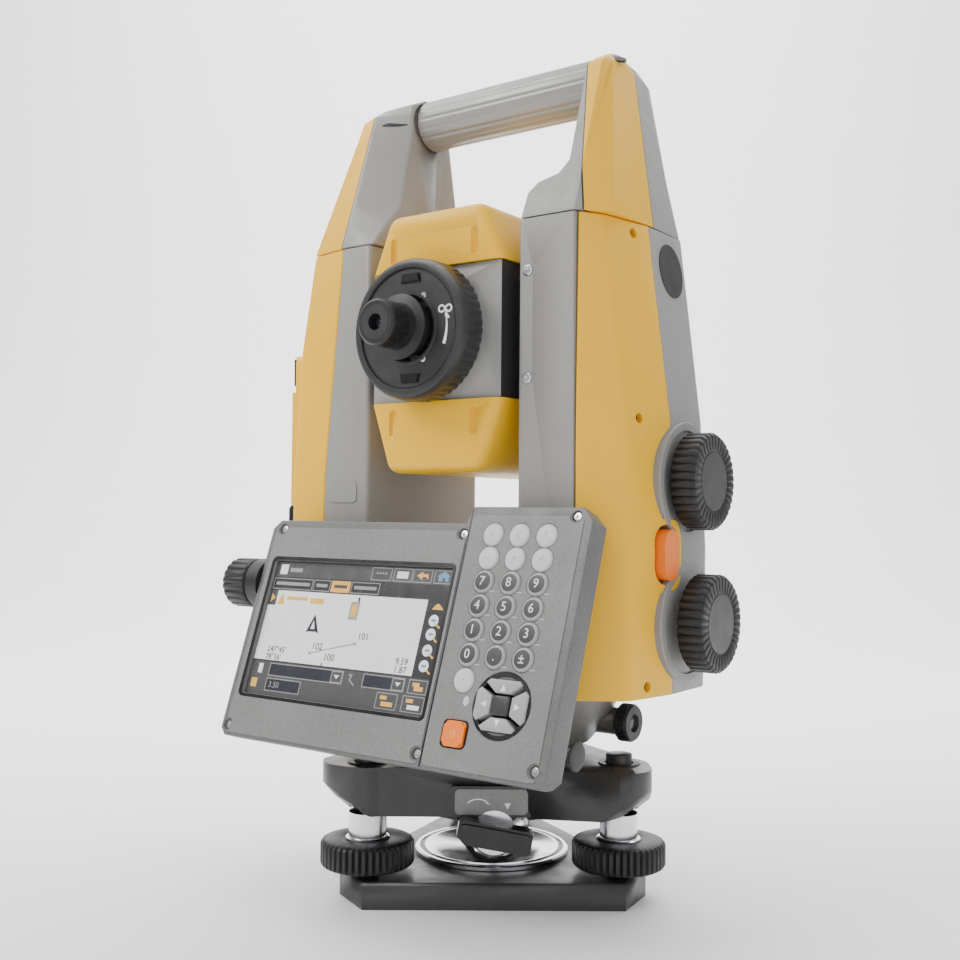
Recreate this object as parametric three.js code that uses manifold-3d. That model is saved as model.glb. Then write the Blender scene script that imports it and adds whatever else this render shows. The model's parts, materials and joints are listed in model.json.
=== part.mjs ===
// Surveying total station on a three-screw tribrach.
// Millimetres. The origin is on the vertical axis at the underside of the base plate, +Z is up,
// +X runs along the tilting (trunnion) axis towards the fine-motion knobs, and -Y is the
// operator's side, with the eyepiece and the display.
import * as THREE from "three";
import { mergeVertices } from "three/addons/utils/BufferGeometryUtils.js";
import Module from "manifold-3d";

const wasm = await Module();
wasm.setup();

// ---------------------------------------------------------------- driving dimensions

const GAP = 0.3; // between pieces seated on each other
const RUN = 0.4; // round a piece that turns or slides in another
const ROUND = 16; // sides of a small round piece
const WIDE_ROUND = 28; // sides of a large round piece

const HEIGHT = 355; // base plate to the top of the handle
const TRUNNION_Z = 236; // height of the tilting axis
const COLUMN_FOOT_Z = 88; // where the two columns stand on the alidade base
const SEAM_Z = 280; // joint between the columns and the handle
const COLUMN_INNER_X = 40; // half of the gap that the telescope turns in
const COLUMN_HALF_Y = 41; // half of the columns' depth
// The frame ends and the side cover begins at the strip; each side lists [height, distance].
const RIGHT = {
  strip: [[COLUMN_FOOT_Z, 67], [SEAM_Z, 66.5]],
  side: [[COLUMN_FOOT_Z, 90], [146, 91], [200, 88.5], [SEAM_Z, 78]],
  creaseBack: 12, // front crease, behind the front face
  creaseIn: 5, // and inside the widest point
};
const LEFT = {
  strip: [[COLUMN_FOOT_Z, 66.5], [175, 66], [SEAM_Z, 56]],
  side: [[COLUMN_FOOT_Z, 94], [175, 93.5], [236, 89], [SEAM_Z, 80]],
  creaseBack: 5,
  creaseIn: 1,
};
const POST_TOP_X = 69; // outer side of a handle post, near its top
const POST_INNER_X = 59.5; // inner face of the right post
const LEFT_POST_INNER_X = 38.5; // the left post is broader
const WALL = 3; // wall of every moulded cover

const TRIBRACH_TURN = 36.7; // degrees that the tribrach is turned from the operator's side
const BASE_PLATE_Z = 10.7;
// Half outline of the base plate, from its front edge round to its back edge.
const BASE_CORNERS = [[53.5, -50], [64.5, -30], [17, 71]];
const SCREW_CIRCLE = 61.1; // radius of the circle of foot screws
const FOOT_KNOB_R = 19.9;
const FOOT_SLEEVE_R = 8;
const BODY_LOW_Z = 35.5; // tribrach body
const BODY_TOP_Z = 55.5;
const LOBE_R = 12.6;
const LOBE_SHIFT = 8; // each lobe also reaches this far past its screw
const LOBE_SWEEP = 60; // degrees clockwise of the radius that it reaches in
const WAIST = 41.5; // centre to the middle of the waist between two lobes
const LIFT = 3; // levelling travel each way
const CLAMP_Z = 30; // axis of the locking knob
const CLAMP_R = 14.5;

const SPINDLE_R = 16;
const CONE_LOW_R = 46; // alidade base
const CONE_TOP_R = 57.5;
const CONE_LOW_Z = 62;
const CONE_HOLLOW = { r: 38, topZ: 76 }; // room over the horizontal circle
const HORIZONTAL_CIRCLE = { r: 36, z: 69, thick: 2 };
const SPINDLE_TOP_Z = 83;
const ADAPTER_TOP_Z = 60;
const CABLE_BORE_R = 5; // up from the spindle into the bridge

const TELESCOPE_HALF_X = 35;
const TELESCOPE_FRONT_Y = -44;
const TELESCOPE_BACK_Y = 60;
const BAND_HALF_Z = 28; // half height of the dark middle band
const TOP_COVER_RISE = 53; // from the tilting axis up to the top of the upper cover
const BOTTOM_COVER_DROP = 58.5;
const TRUNNION_R = 10;
const FOCUS_R = 29.4;
const FOCUS_FRONT_Y = -63.2;
const FOCUS_WIDTH = 13.4;
const EYEPIECE_R = 9.4;
const EYEPIECE_FRONT_Y = -82.7;
const NECK_R = 10.2; // tube that carries the focusing ring
const OBJECTIVE_R = 19; // clear objective
const BARREL_R = 26;

const KNOB_R = 20; // fine-motion knobs
const KNOB_LENGTH = 11;
const KNOB_Y = 11;
const VERTICAL_KNOB = { z: 174.4, faceX: 102.5 };
const HORIZONTAL_KNOB = { z: 116.6, faceX: 105.7 };
const TRIGGER = { y: -6.7, z: 144.6, halfY: 6.3, halfZ: 10.2, faceX: 92.2 };

const DISPLAY_TILT = 19.05; // degrees that the display leans back
const DISPLAY_FOOT_Y = -COLUMN_HALF_Y - 46.1; // lower front edge
const DISPLAY_FOOT_Z = 65;
const DISPLAY_LEFT = -82;
const DISPLAY_RIGHT = 84;
const DISPLAY_SPLIT = 28; // line between the screen part and the keypad part
const SCREEN_PART_H = 97;
const KEYPAD_PART_H = 104;
const DISPLAY_EDGE_DEPTH = 10.5;
const DISPLAY_DEPTH = 24;
const DISPLAY_HUMP = { left: -70, right: 72, low: 8, high: 88 }; // thicker middle of the back
const FACE_WALL = 2.5;
const SCREEN = { left: -75.5, right: 24.3, low: 18.8, high: 78.4, depth: 2.6 };
const KEY_FIRST = { x: 40.46, h: 92.5 }; // upper left key
const KEY_PITCH_X = 12.389;
const KEY_PITCH_H = 9.571;
const KEY_R = 4.1;
const KEY_PROUD = 1.2;
const ALPHA_KEY = { x: 40.8, h: 34.8 };
const POWER_KEY = { x: 41.3, h: 14.4, half: 4.8 };
const PAD = { x: 59.7, h: 26.8, halfX: 11.4, halfH: 9.6, core: 3.7, groove: 0.8 };
const SIDE_KNOB = { y: -COLUMN_HALF_Y - 15, z: 127.8, r: 11.3, length: 15 };

const PLUMMET = { y: 20, z: 70.5, r: 8.2, tubeR: 6, tipX: 61, length: 6.5 };

const BATTERY = { thick: 16, wide: 40, high: 66 };
const DOOR = { lowZ: 158, highZ: 237, halfY: 31, faceX: 98, thick: 5, swingGap: 1.3 };

// ---------------------------------------------------------------- solids

const rad = THREE.MathUtils.degToRad;

// A closed geometry as a solid that can be joined and cut, always facing out.
function solid(geometry) {
  const bare = geometry.index ? geometry.toNonIndexed() : geometry.clone();
  bare.deleteAttribute("normal");
  bare.deleteAttribute("uv");
  const merged = mergeVertices(bare, 1e-4);
  const triVerts = new Uint32Array(merged.index.array);
  const vertProperties = merged.attributes.position.array;
  const made = new wasm.Manifold(new wasm.Mesh({ numProp: 3, vertProperties, triVerts }));
  if (made.volume() > 0) return made;
  for (let i = 0; i < triVerts.length; i += 3) {
    [triVerts[i + 1], triVerts[i + 2]] = [triVerts[i + 2], triVerts[i + 1]];
  }
  return new wasm.Manifold(new wasm.Mesh({ numProp: 3, vertProperties, triVerts }));
}

function geometryOf(body) {
  const mesh = body.getMesh();
  const geometry = new THREE.BufferGeometry();
  geometry.setAttribute("position", new THREE.BufferAttribute(mesh.vertProperties, 3));
  geometry.setIndex(new THREE.BufferAttribute(mesh.triVerts, 1));
  return geometry;
}

const join = (first, ...rest) => rest.reduce((sum, piece) => sum.add(piece), first);
const cut = (first, ...rest) => rest.reduce((left, piece) => left.subtract(piece), first);

// A box between two corners.
function block([x0, y0, z0], [x1, y1, z1]) {
  const geometry = new THREE.BoxGeometry(x1 - x0, y1 - y0, z1 - z0);
  return solid(geometry.translate((x0 + x1) / 2, (y0 + y1) / 2, (z0 + z1) / 2));
}

// A profile of [radius, distance along the axis] turned round an axis through a point.
function turned(profile, axis = "z", [x, y, z] = [0, 0, 0], sides = ROUND) {
  const points = profile.map(([r, along]) => new THREE.Vector2(r, along));
  const geometry = new THREE.LatheGeometry(points, sides);
  if (axis === "z") geometry.rotateX(Math.PI / 2);
  if (axis === "x") geometry.rotateZ(-Math.PI / 2);
  return solid(geometry.translate(x, y, z));
}

const rod = (r, low, high, axis, at, sides) =>
  turned([[0, low], [r, low], [r, high], [0, high]], axis, at, sides);

const ring = (inner, outer, low, high, axis, at, sides) =>
  turned([[inner, low], [outer, low], [outer, high], [inner, high], [inner, low]], axis, at, sides);

// Horizontal outlines of [x, y], each at its own height, skinned into one closed body.
function loft(levels) {
  const count = levels[0].outline.length;
  const positions = levels.flatMap(({ z, outline }) => outline.flatMap(([x, y]) => [x, y, z]));
  const index = [];
  for (let level = 0; level + 1 < levels.length; level++) {
    for (let i = 0; i < count; i++) {
      const a = level * count + i;
      const b = level * count + ((i + 1) % count);
      index.push(a, b, b + count, a, b + count, a + count);
    }
  }
  const flat = (level) => level.outline.map(([x, y]) => new THREE.Vector2(x, y));
  const last = (levels.length - 1) * count;
  for (const [a, b, c] of THREE.ShapeUtils.triangulateShape(flat(levels[0]), [])) index.push(c, b, a);
  for (const [a, b, c] of THREE.ShapeUtils.triangulateShape(flat(levels.at(-1)), [])) {
    index.push(last + a, last + b, last + c);
  }
  const geometry = new THREE.BufferGeometry();
  geometry.setAttribute("position", new THREE.Float32BufferAttribute(positions, 3));
  geometry.setIndex(index);
  return solid(geometry);
}

// An outline of [x, y] pulled up from one height to another.
const prism = (outline, low, high) => loft([{ z: low, outline }, { z: high, outline }]);

// The same, standing up: an outline of [x, z] pulled along Y.
const wallPrism = (outline, front, back) => prism(outline, -back, -front).rotate([90, 0, 0]);

// A rectangle whose corners are cut by a quarter circle of `sides` chords.
function roundedOutline(x0, x1, y0, y1, r, sides = 3) {
  const corners = [[x1 - r, y1 - r], [x0 + r, y1 - r], [x0 + r, y0 + r], [x1 - r, y0 + r]];
  return corners.flatMap(([cx, cy], quarter) =>
    Array.from({ length: sides + 1 }, (_, step) => {
      const angle = (quarter + step / sides) * (Math.PI / 2);
      return [cx + r * Math.cos(angle), cy + r * Math.sin(angle)];
    }),
  );
}

// Every edge of a convex, anticlockwise outline moved inwards.
function insetOutline(outline, distance) {
  const lines = outline.map(([x0, y0], i) => {
    const [x1, y1] = outline[(i + 1) % outline.length];
    const length = Math.hypot(x1 - x0, y1 - y0);
    const normal = [-(y1 - y0) / length, (x1 - x0) / length];
    return { normal, level: normal[0] * x0 + normal[1] * y0 + distance };
  });
  return lines.map((b, i) => {
    const a = lines[(i + lines.length - 1) % lines.length];
    const det = a.normal[0] * b.normal[1] - a.normal[1] * b.normal[0];
    return [
      (a.level * b.normal[1] - b.level * a.normal[1]) / det,
      (a.normal[0] * b.level - b.normal[0] * a.level) / det,
    ];
  });
}

// ---------------------------------------------------------------- scene

const paint = (color, roughness, metalness = 0) =>
  new THREE.MeshStandardMaterial({ color, roughness, metalness });

const YELLOW = () => paint(0xf9bf3b, 0.45);
const GREY = () => paint(0x9a9994, 0.5);
const DARK_GREY = () => paint(0x4a4a49, 0.5);
const BLACK = () => paint(0x262626, 0.6);
const ORANGE = () => paint(0xff6a1f, 0.5);
const STEEL = () => paint(0xd8d8d8, 0.25, 1);
const GLASS = () => paint(0xb8d0d8, 0.05);
const KEY_GREY = () => paint(0x7d7d7b, 0.5);
const KEY_WHITE = () => paint(0xe2e2de, 0.5);

const instrument = new THREE.Group();

const tribrach = new THREE.Group();
tribrach.rotation.z = rad(TRIBRACH_TURN);
instrument.add(tribrach);

// In the display group X is the instrument's X, Z runs up the display and Y goes into it.
const display = new THREE.Group();
display.position.set(0, DISPLAY_FOOT_Y, DISPLAY_FOOT_Z);
display.rotation.x = -rad(DISPLAY_TILT);
instrument.add(display);

function place(name, body, material, parent = instrument, [x, y, z] = [0, 0, 0]) {
  const mesh = new THREE.Mesh(geometryOf(body), material);
  mesh.name = name;
  mesh.position.set(x, y, z);
  parent.add(mesh);
}

// ---------------------------------------------------------------- tribrach

const screwAngle = (number) => rad(-150 + 120 * number); // left front, right front, back
const screwPlace = (number) => [
  SCREW_CIRCLE * Math.cos(screwAngle(number)),
  SCREW_CIRCLE * Math.sin(screwAngle(number)),
];
const SCREWS = [0, 1, 2];

function turnPoint([x, y], angle) {
  return [x * Math.cos(angle) - y * Math.sin(angle), x * Math.sin(angle) + y * Math.cos(angle)];
}

const SCREW_PIN_R = 4;
const SCREW_PIN_Z = 4; // bottom of the foot screw's pin
const FOOT_KNOB_Z = [13, 24];
const THREADED_R = 5;
const SLEEVE_TOP_Z = BODY_LOW_Z - 0.8;
const SCREW_TOP_Z = BODY_TOP_Z - LIFT - 1.5;
const TRIPOD_SCREW_R = 7.94; // 5/8 inch thread
const PLATE_BEVEL = 1.3;

function basePlate() {
  const outline = [...BASE_CORNERS, ...BASE_CORNERS.map(([x, y]) => [-x, y]).reverse()];
  const plate = loft([
    { z: 0, outline },
    { z: BASE_PLATE_Z - PLATE_BEVEL, outline },
    { z: BASE_PLATE_Z, outline: insetOutline(outline, PLATE_BEVEL) },
  ]);
  const sockets = SCREWS.map((number) =>
    rod(SCREW_PIN_R + RUN, SCREW_PIN_Z - RUN, BASE_PLATE_Z + 1, "z", [...screwPlace(number), 0]),
  );
  return cut(plate, rod(TRIPOD_SCREW_R, -1, BASE_PLATE_Z + 1), ...sockets);
}

function footScrew() {
  const [low, high] = FOOT_KNOB_Z;
  return turned([
    [0, SCREW_PIN_Z],
    [SCREW_PIN_R, SCREW_PIN_Z],
    [SCREW_PIN_R, low],
    [FOOT_KNOB_R - 1.5, low],
    [FOOT_KNOB_R, low + 1.5],
    [FOOT_KNOB_R, high - 2],
    [FOOT_KNOB_R - 2, high],
    [FOOT_SLEEVE_R, high],
    [FOOT_SLEEVE_R, SLEEVE_TOP_Z],
    [THREADED_R, SLEEVE_TOP_Z],
    [THREADED_R, SCREW_TOP_Z],
    [0, SCREW_TOP_Z],
  ]);
}

const SPRING_PLATE_R = 34;
const SPRING_PLATE_Z = [BASE_PLATE_Z + GAP, 13];

// Where a lobe's second round end sits beside its foot screw.
function lobeEnd(number) {
  const [x, y] = screwPlace(number);
  const angle = screwAngle(number) - rad(LOBE_SWEEP);
  return [x + LOBE_SHIFT * Math.cos(angle), y + LOBE_SHIFT * Math.sin(angle)];
}

// Long lobes round the foot screws, joined by waists that curve in.
function tribrachOutline() {
  const shape = new THREE.Shape();
  const lobeSpan = rad(84);
  const control = 2 * WAIST - (SCREW_CIRCLE * Math.cos(rad(60)) + LOBE_R);
  SCREWS.forEach((number) => {
    const angle = screwAngle(number);
    const change = angle + rad(90 - LOBE_SWEEP);
    shape.absarc(...lobeEnd(number), LOBE_R, angle - lobeSpan, change, false);
    shape.absarc(...screwPlace(number), LOBE_R, change, angle + lobeSpan, false);
    const next = lobeEnd((number + 1) % 3);
    const startAngle = screwAngle(number + 1) - lobeSpan;
    shape.quadraticCurveTo(
      control * Math.cos(angle + rad(60)),
      control * Math.sin(angle + rad(60)),
      next[0] + LOBE_R * Math.cos(startAngle),
      next[1] + LOBE_R * Math.sin(startAngle),
    );
  });
  const points = shape.getPoints(5).map(({ x, y }) => [x, y]);
  return points.filter(([x, y], i) => {
    const [nx, ny] = points[(i + 1) % points.length];
    return Math.hypot(nx - x, ny - y) > 0.01;
  });
}

const ADAPTER_R = 40; // foot of the instrument, clamped on the tribrach
const SLEEVE_R = 23.5; // its sleeve, down inside the tribrach
const LEVEL = { angle: rad(150), radius: 55, r: 8.5, earR: 10.5 };
const CLAMP_DISC = [34.4, 38.4]; // distances from the vertical axis
const CLAMP_BAR = { inner: 42.8, outer: 55, halfLength: 15.5, halfHeight: 4.8, tilt: 10 };
const CLAMP_NECK_R = 5.5;
const CLAMP_SHAFT = { r: 4, inner: 27 };
const CAP_R = 5.6;
const CAP_TOP_Z = 59.8;

function tribrachBody() {
  const lobes = prism(tribrachOutline(), BODY_LOW_Z, BODY_TOP_Z);
  const rim = SCREW_CIRCLE + LOBE_SHIFT * Math.cos(rad(LOBE_SWEEP)) + LOBE_R;
  const roundedUnder = turned([
    [0, BODY_LOW_Z - 5],
    [rim - 14, BODY_LOW_Z - 5],
    [rim - 11, BODY_LOW_Z],
    [rim - 4, BODY_LOW_Z + 6],
    [rim + 1, BODY_LOW_Z + 12],
    [rim + 1, BODY_TOP_Z + 1],
    [0, BODY_TOP_Z + 1],
  ], "z", [0, 0, 0], WIDE_ROUND);
  const skirt = rod(WAIST - 2.5, BODY_LOW_Z - 3, BODY_LOW_Z + 1, "z", [0, 0, 0], WIDE_ROUND);
  const ear = (radius) => {
    const at = [radius * Math.cos(LEVEL.angle), radius * Math.sin(LEVEL.angle), 0];
    return rod(LEVEL.earR, BODY_TOP_Z - 10, BODY_TOP_Z, "z", at);
  };
  const caps = SCREWS.map((number) =>
    rod(CAP_R, BODY_TOP_Z - 2, CAP_TOP_Z, "z", [...screwPlace(number), 0]),
  );
  const body = join(
    lobes.intersect(roundedUnder),
    skirt,
    ear(LEVEL.radius),
    ear(LEVEL.radius - LEVEL.earR),
    ...caps,
  );
  const bores = SCREWS.flatMap((number) => [
    rod(THREADED_R + RUN, BODY_LOW_Z - 6, SCREW_TOP_Z + LIFT + RUN, "z", [...screwPlace(number), 0]),
    rod(FOOT_SLEEVE_R + RUN, BODY_LOW_Z - 6, SLEEVE_TOP_Z + LIFT + RUN, "z", [...screwPlace(number), 0]),
  ]);
  const axis = [0, 0, CLAMP_Z];
  const barSweep = Math.hypot(CLAMP_BAR.halfLength, CLAMP_BAR.halfHeight) + RUN;
  const pocketFront = -CLAMP_DISC[1] - RUN;
  const pocketBack = -CLAMP_DISC[0] + RUN;
  return cut(
    body,
    ...bores,
    rod(SLEEVE_R + GAP, BODY_LOW_Z - 6, BODY_TOP_Z + 1, "z", [0, 0, 0], WIDE_ROUND),
    rod(CLAMP_R + RUN, pocketFront, pocketBack, "y", axis, WIDE_ROUND),
    block([-CLAMP_R - RUN, pocketFront, 0], [CLAMP_R + RUN, pocketBack, CLAMP_Z]),
    rod(CLAMP_NECK_R + RUN, -CLAMP_BAR.outer, -CLAMP_DISC[0], "y", axis),
    rod(barSweep, -CLAMP_BAR.outer - RUN, -CLAMP_BAR.inner + RUN, "y", axis, WIDE_ROUND),
    rod(CLAMP_SHAFT.r + RUN, -CLAMP_DISC[1], -CLAMP_SHAFT.inner + RUN, "y", axis),
  );
}

// The locking knob's axis is the mesh's own Y, pointing to the centre of the tribrach.
function clampKnob() {
  const { inner, outer, halfLength, halfHeight, tilt } = CLAMP_BAR;
  const bar = wallPrism(
    roundedOutline(-halfLength, halfLength, -halfHeight, halfHeight, 3),
    -outer,
    -inner,
  );
  return join(
    rod(CLAMP_SHAFT.r, -CLAMP_DISC[0] - 1, -CLAMP_SHAFT.inner, "y"),
    rod(CLAMP_R, -CLAMP_DISC[1], -CLAMP_DISC[0], "y", [0, 0, 0], WIDE_ROUND),
    rod(CLAMP_NECK_R, -inner - 1, -CLAMP_DISC[1] + 1, "y"),
    bar.rotate([0, tilt, 0]),
  );
}

function spindle() {
  return turned([
    [0, BODY_LOW_Z],
    [SLEEVE_R, BODY_LOW_Z],
    [SLEEVE_R, BODY_TOP_Z + GAP],
    [ADAPTER_R, BODY_TOP_Z + GAP],
    [ADAPTER_R, ADAPTER_TOP_Z],
    [SPINDLE_R, ADAPTER_TOP_Z],
    [SPINDLE_R, HORIZONTAL_CIRCLE.z],
    [HORIZONTAL_CIRCLE.r, HORIZONTAL_CIRCLE.z],
    [HORIZONTAL_CIRCLE.r, HORIZONTAL_CIRCLE.z + HORIZONTAL_CIRCLE.thick],
    [SPINDLE_R, HORIZONTAL_CIRCLE.z + HORIZONTAL_CIRCLE.thick],
    [SPINDLE_R, SPINDLE_TOP_Z],
    [0, SPINDLE_TOP_Z],
  ], "z", [0, 0, 0], WIDE_ROUND);
}

function buildTribrach() {
  place("base_plate", basePlate(), BLACK(), tribrach);
  const centre = [0, 0, 0];
  const springPlate = ring(TRIPOD_SCREW_R + 1, SPRING_PLATE_R, ...SPRING_PLATE_Z, "z", centre, WIDE_ROUND);
  place("spring_plate", springPlate, STEEL(), tribrach);
  place("tribrach_body", tribrachBody(), DARK_GREY(), tribrach);
  SCREWS.forEach((number) => {
    place(`foot_screw_${number + 1}`, footScrew(), BLACK(), tribrach, [...screwPlace(number), 0]);
  });
  place("clamp_knob", clampKnob(), BLACK(), tribrach, [0, 0, CLAMP_Z]);
  const vial = turned([[0, 0], [LEVEL.r, 0], [LEVEL.r, 4], [LEVEL.r - 1.5, 5.5], [0, 6]]);
  const levelPlace = [LEVEL.radius * Math.cos(LEVEL.angle), LEVEL.radius * Math.sin(LEVEL.angle)];
  place("circular_level", vial, GLASS(), tribrach, [...levelPlace, BODY_TOP_Z + GAP]);
  place("spindle", spindle(), STEEL(), tribrach);
}

// ---------------------------------------------------------------- alidade base and columns

const HUB_TOP_Z = COLUMN_FOOT_Z - 2;
const BRIDGE_Z = 124; // top of the block between the columns
const MEETING = COLUMN_INNER_X - GAP;

function alidadeBase() {
  const cone = turned([
    [0, CONE_LOW_Z],
    [CONE_LOW_R - 1.5, CONE_LOW_Z],
    [CONE_LOW_R, CONE_LOW_Z + 2],
    [CONE_LOW_R + 4, CONE_LOW_Z + 9],
    [CONE_TOP_R - 3, COLUMN_FOOT_Z - 12],
    [CONE_TOP_R, COLUMN_FOOT_Z - 2],
    [CONE_TOP_R, COLUMN_FOOT_Z],
    [0, COLUMN_FOOT_Z],
  ], "z", [0, 0, 0], WIDE_ROUND);
  const bridge = block(
    [-MEETING, -COLUMN_HALF_Y + WALL, COLUMN_FOOT_Z - 4],
    [MEETING, COLUMN_HALF_Y - WALL, BRIDGE_Z],
  );
  const eyepieceAxis = [0, PLUMMET.y, PLUMMET.z];
  return cut(
    join(cone, bridge, rod(PLUMMET.tubeR, 40, PLUMMET.tipX - 3, "x", eyepieceAxis)),
    rod(CONE_HOLLOW.r, CONE_LOW_Z - 1, CONE_HOLLOW.topZ, "z", [0, 0, 0], WIDE_ROUND),
    rod(SPINDLE_R + RUN, CONE_LOW_Z, SPINDLE_TOP_Z + RUN, "z", [0, 0, 0], WIDE_ROUND),
    block([-30, -30, HUB_TOP_Z], [30, 30, BRIDGE_Z - 4]),
    rod(CABLE_BORE_R, CONE_LOW_Z, HUB_TOP_Z + 1),
  );
}

// The value at one height of a list of [height, value], straight between its points.
function atHeight(list, z) {
  const next = list.findIndex(([height], i) => i > 0 && (height >= z || i === list.length - 1));
  const [[z0, v0], [z1, v1]] = [list[next - 1], list[next]];
  return v0 + ((v1 - v0) * (z - z0)) / (z1 - z0);
}

const columnLevels = (column) => [
  COLUMN_FOOT_Z + GAP,
  ...column.side.slice(1, -1).map(([z]) => z),
  SEAM_Z - GAP,
];

// Half plan of a side cover, anticlockwise from the front strip round to the back one. Both
// columns are drawn on the +X side, and the left one is mirrored when it is placed.
function coverPlan(column, z, inset = 0) {
  const x = atHeight(column.side, z);
  const strip = atHeight(column.strip, z);
  const outline = [
    [strip, -COLUMN_HALF_Y],
    [x - column.creaseIn, -COLUMN_HALF_Y + column.creaseBack],
    [x, -3],
    [x, COLUMN_HALF_Y - 12],
    [strip, COLUMN_HALF_Y],
  ];
  return inset ? insetOutline(outline, inset) : outline;
}

// A hollow side cover, open towards the frame.
function coverShell(column) {
  const levels = columnLevels(column);
  const outer = loft(levels.map((z) => ({ z, outline: coverPlan(column, z) })));
  const inner = loft(
    levels.map((z, i) => {
      const strip = atHeight(column.strip, z);
      const isMouth = (x) => x < strip + WALL + 0.1;
      const outline = coverPlan(column, z, WALL).map(([x, y]) => [isMouth(x) ? strip - 5 : x, y]);
      const ends = i === 0 ? WALL : i === levels.length - 1 ? -WALL : 0;
      return { z: z + ends, outline };
    }),
  );
  return outer.subtract(inner);
}

const OUTSIDE_X = 120; // beyond every piece
const PANEL = { frontY: -2, backY: 29, lowZ: 96, highZ: SEAM_Z - 8, innerX: 71 };
const panelOutline = (margin) => [
  [PANEL.frontY + margin, PANEL.lowZ + margin],
  [PANEL.backY - margin, PANEL.lowZ + margin],
  [PANEL.backY - margin, PANEL.highZ - margin],
  [PANEL.frontY + margin, PANEL.highZ - margin],
];

// A plate standing in the YZ plane between two X values; the outline is [y, z].
const sidePrism = (outline, low, high) =>
  prism(outline, low, high).rotate([90, 0, 0]).rotate([0, 0, 90]);

const KNOB_SHAFT_R = 5;

function rightPanel() {
  const plate = coverShell(RIGHT).intersect(sidePrism(panelOutline(GAP), PANEL.innerX, OUTSIDE_X));
  const holes = [VERTICAL_KNOB, HORIZONTAL_KNOB].map(({ z }) =>
    rod(KNOB_SHAFT_R + RUN, PANEL.innerX, OUTSIDE_X, "x", [0, KNOB_Y, z]),
  );
  return cut(plate, ...holes, triggerHole());
}

const triggerOutline = (grow) =>
  roundedOutline(
    TRIGGER.y - TRIGGER.halfY - grow,
    TRIGGER.y + TRIGGER.halfY + grow,
    TRIGGER.z - TRIGGER.halfZ - grow,
    TRIGGER.z + TRIGGER.halfZ + grow,
    TRIGGER.halfY + grow - 0.1,
    4,
  );
const triggerHole = () => sidePrism(triggerOutline(RUN), PANEL.innerX, OUTSIDE_X);

function rightCover() {
  return cut(coverShell(RIGHT), sidePrism(panelOutline(0), PANEL.innerX, OUTSIDE_X), triggerHole());
}

const TRIGGER_FLANGE = 1.5;

function triggerKey() {
  const wallX = atHeight(RIGHT.side, TRIGGER.z) - WALL - 1.5;
  return join(
    sidePrism(triggerOutline(0), wallX - 1, TRIGGER.faceX),
    sidePrism(triggerOutline(TRIGGER_FLANGE), wallX - 3, wallX - 1),
  );
}

function fineKnob(innerX, faceX) {
  return turned([
    [0, innerX],
    [KNOB_SHAFT_R, innerX],
    [KNOB_SHAFT_R, faceX - KNOB_LENGTH],
    [KNOB_R - 1, faceX - KNOB_LENGTH],
    [KNOB_R, faceX - KNOB_LENGTH + 1],
    [KNOB_R, faceX - 1.5],
    [KNOB_R - 1.5, faceX],
    [0, faceX],
  ], "x", [0, 0, 0], 24);
}

const BEARING_R = 16; // boss round the trunnion in each frame

// A frame is a casting open towards its side cover, with a boss that carries the trunnion.
function columnFrame(column) {
  const heights = column.strip.map(([z]) => Math.min(Math.max(z, COLUMN_FOOT_Z + GAP), SEAM_Z - GAP));
  const box = (wall, reach) =>
    loft(
      heights.map((z, i) => {
        const outerX = atHeight(column.strip, z) - GAP + reach;
        const ends = i === 0 ? wall : i === heights.length - 1 ? -wall : 0;
        const innerX = COLUMN_INNER_X + wall;
        const halfY = COLUMN_HALF_Y - wall;
        const outline = [[innerX, -halfY], [outerX, -halfY], [outerX, halfY], [innerX, halfY]];
        return { z: z + ends, outline };
      }),
    );
  const outerX = atHeight(column.strip, TRUNNION_Z + BEARING_R) - GAP;
  const boss = rod(BEARING_R, COLUMN_INNER_X + 1, outerX - 1, "x", [0, 0, TRUNNION_Z]);
  const bore = rod(TRUNNION_R + RUN, COLUMN_INNER_X - 1, outerX, "x", [0, 0, TRUNNION_Z]);
  return cut(join(cut(box(0, 0), box(WALL, 1)), boss), bore);
}

const doorOutline = (inset, top = inset) =>
  roundedOutline(-DOOR.halfY + inset, DOOR.halfY - inset, DOOR.lowZ + inset, DOOR.highZ - top, 4);
const LATCH = { low: 221, high: 234, thick: 2.5, travel: 3, margin: 2 };

// The battery door is a tray that stands proud of the cover, with a well for its latch.
function batteryDoor() {
  const rimX = atHeight(LEFT.side, DOOR.highZ) - WALL - 1;
  const plate = sidePrism(doorOutline(GAP, DOOR.swingGap), rimX, DOOR.faceX);
  const tray = sidePrism(doorOutline(GAP + WALL, DOOR.swingGap + WALL), rimX - 1, DOOR.faceX - DOOR.thick);
  const inside = loft(columnLevels(LEFT).map((z) => ({ z, outline: coverPlan(LEFT, z, WALL) })));
  const latchWell = block(
    [DOOR.faceX - LATCH.thick, -DOOR.halfY - 1, LATCH.low - LATCH.travel - GAP],
    [DOOR.faceX + 2, DOOR.halfY + 1, LATCH.high + GAP],
  );
  return cut(plate, tray, inside, latchWell);
}

function batteryLatch() {
  const halfY = DOOR.halfY - LATCH.margin;
  return block([DOOR.faceX - LATCH.thick + GAP, -halfY, LATCH.low], [DOOR.faceX + 0.6, halfY, LATCH.high]);
}

const CIRCLE = { r: 35 - 2 * WALL, thick: 2.5 };
const BATTERY_X = 68;

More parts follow.
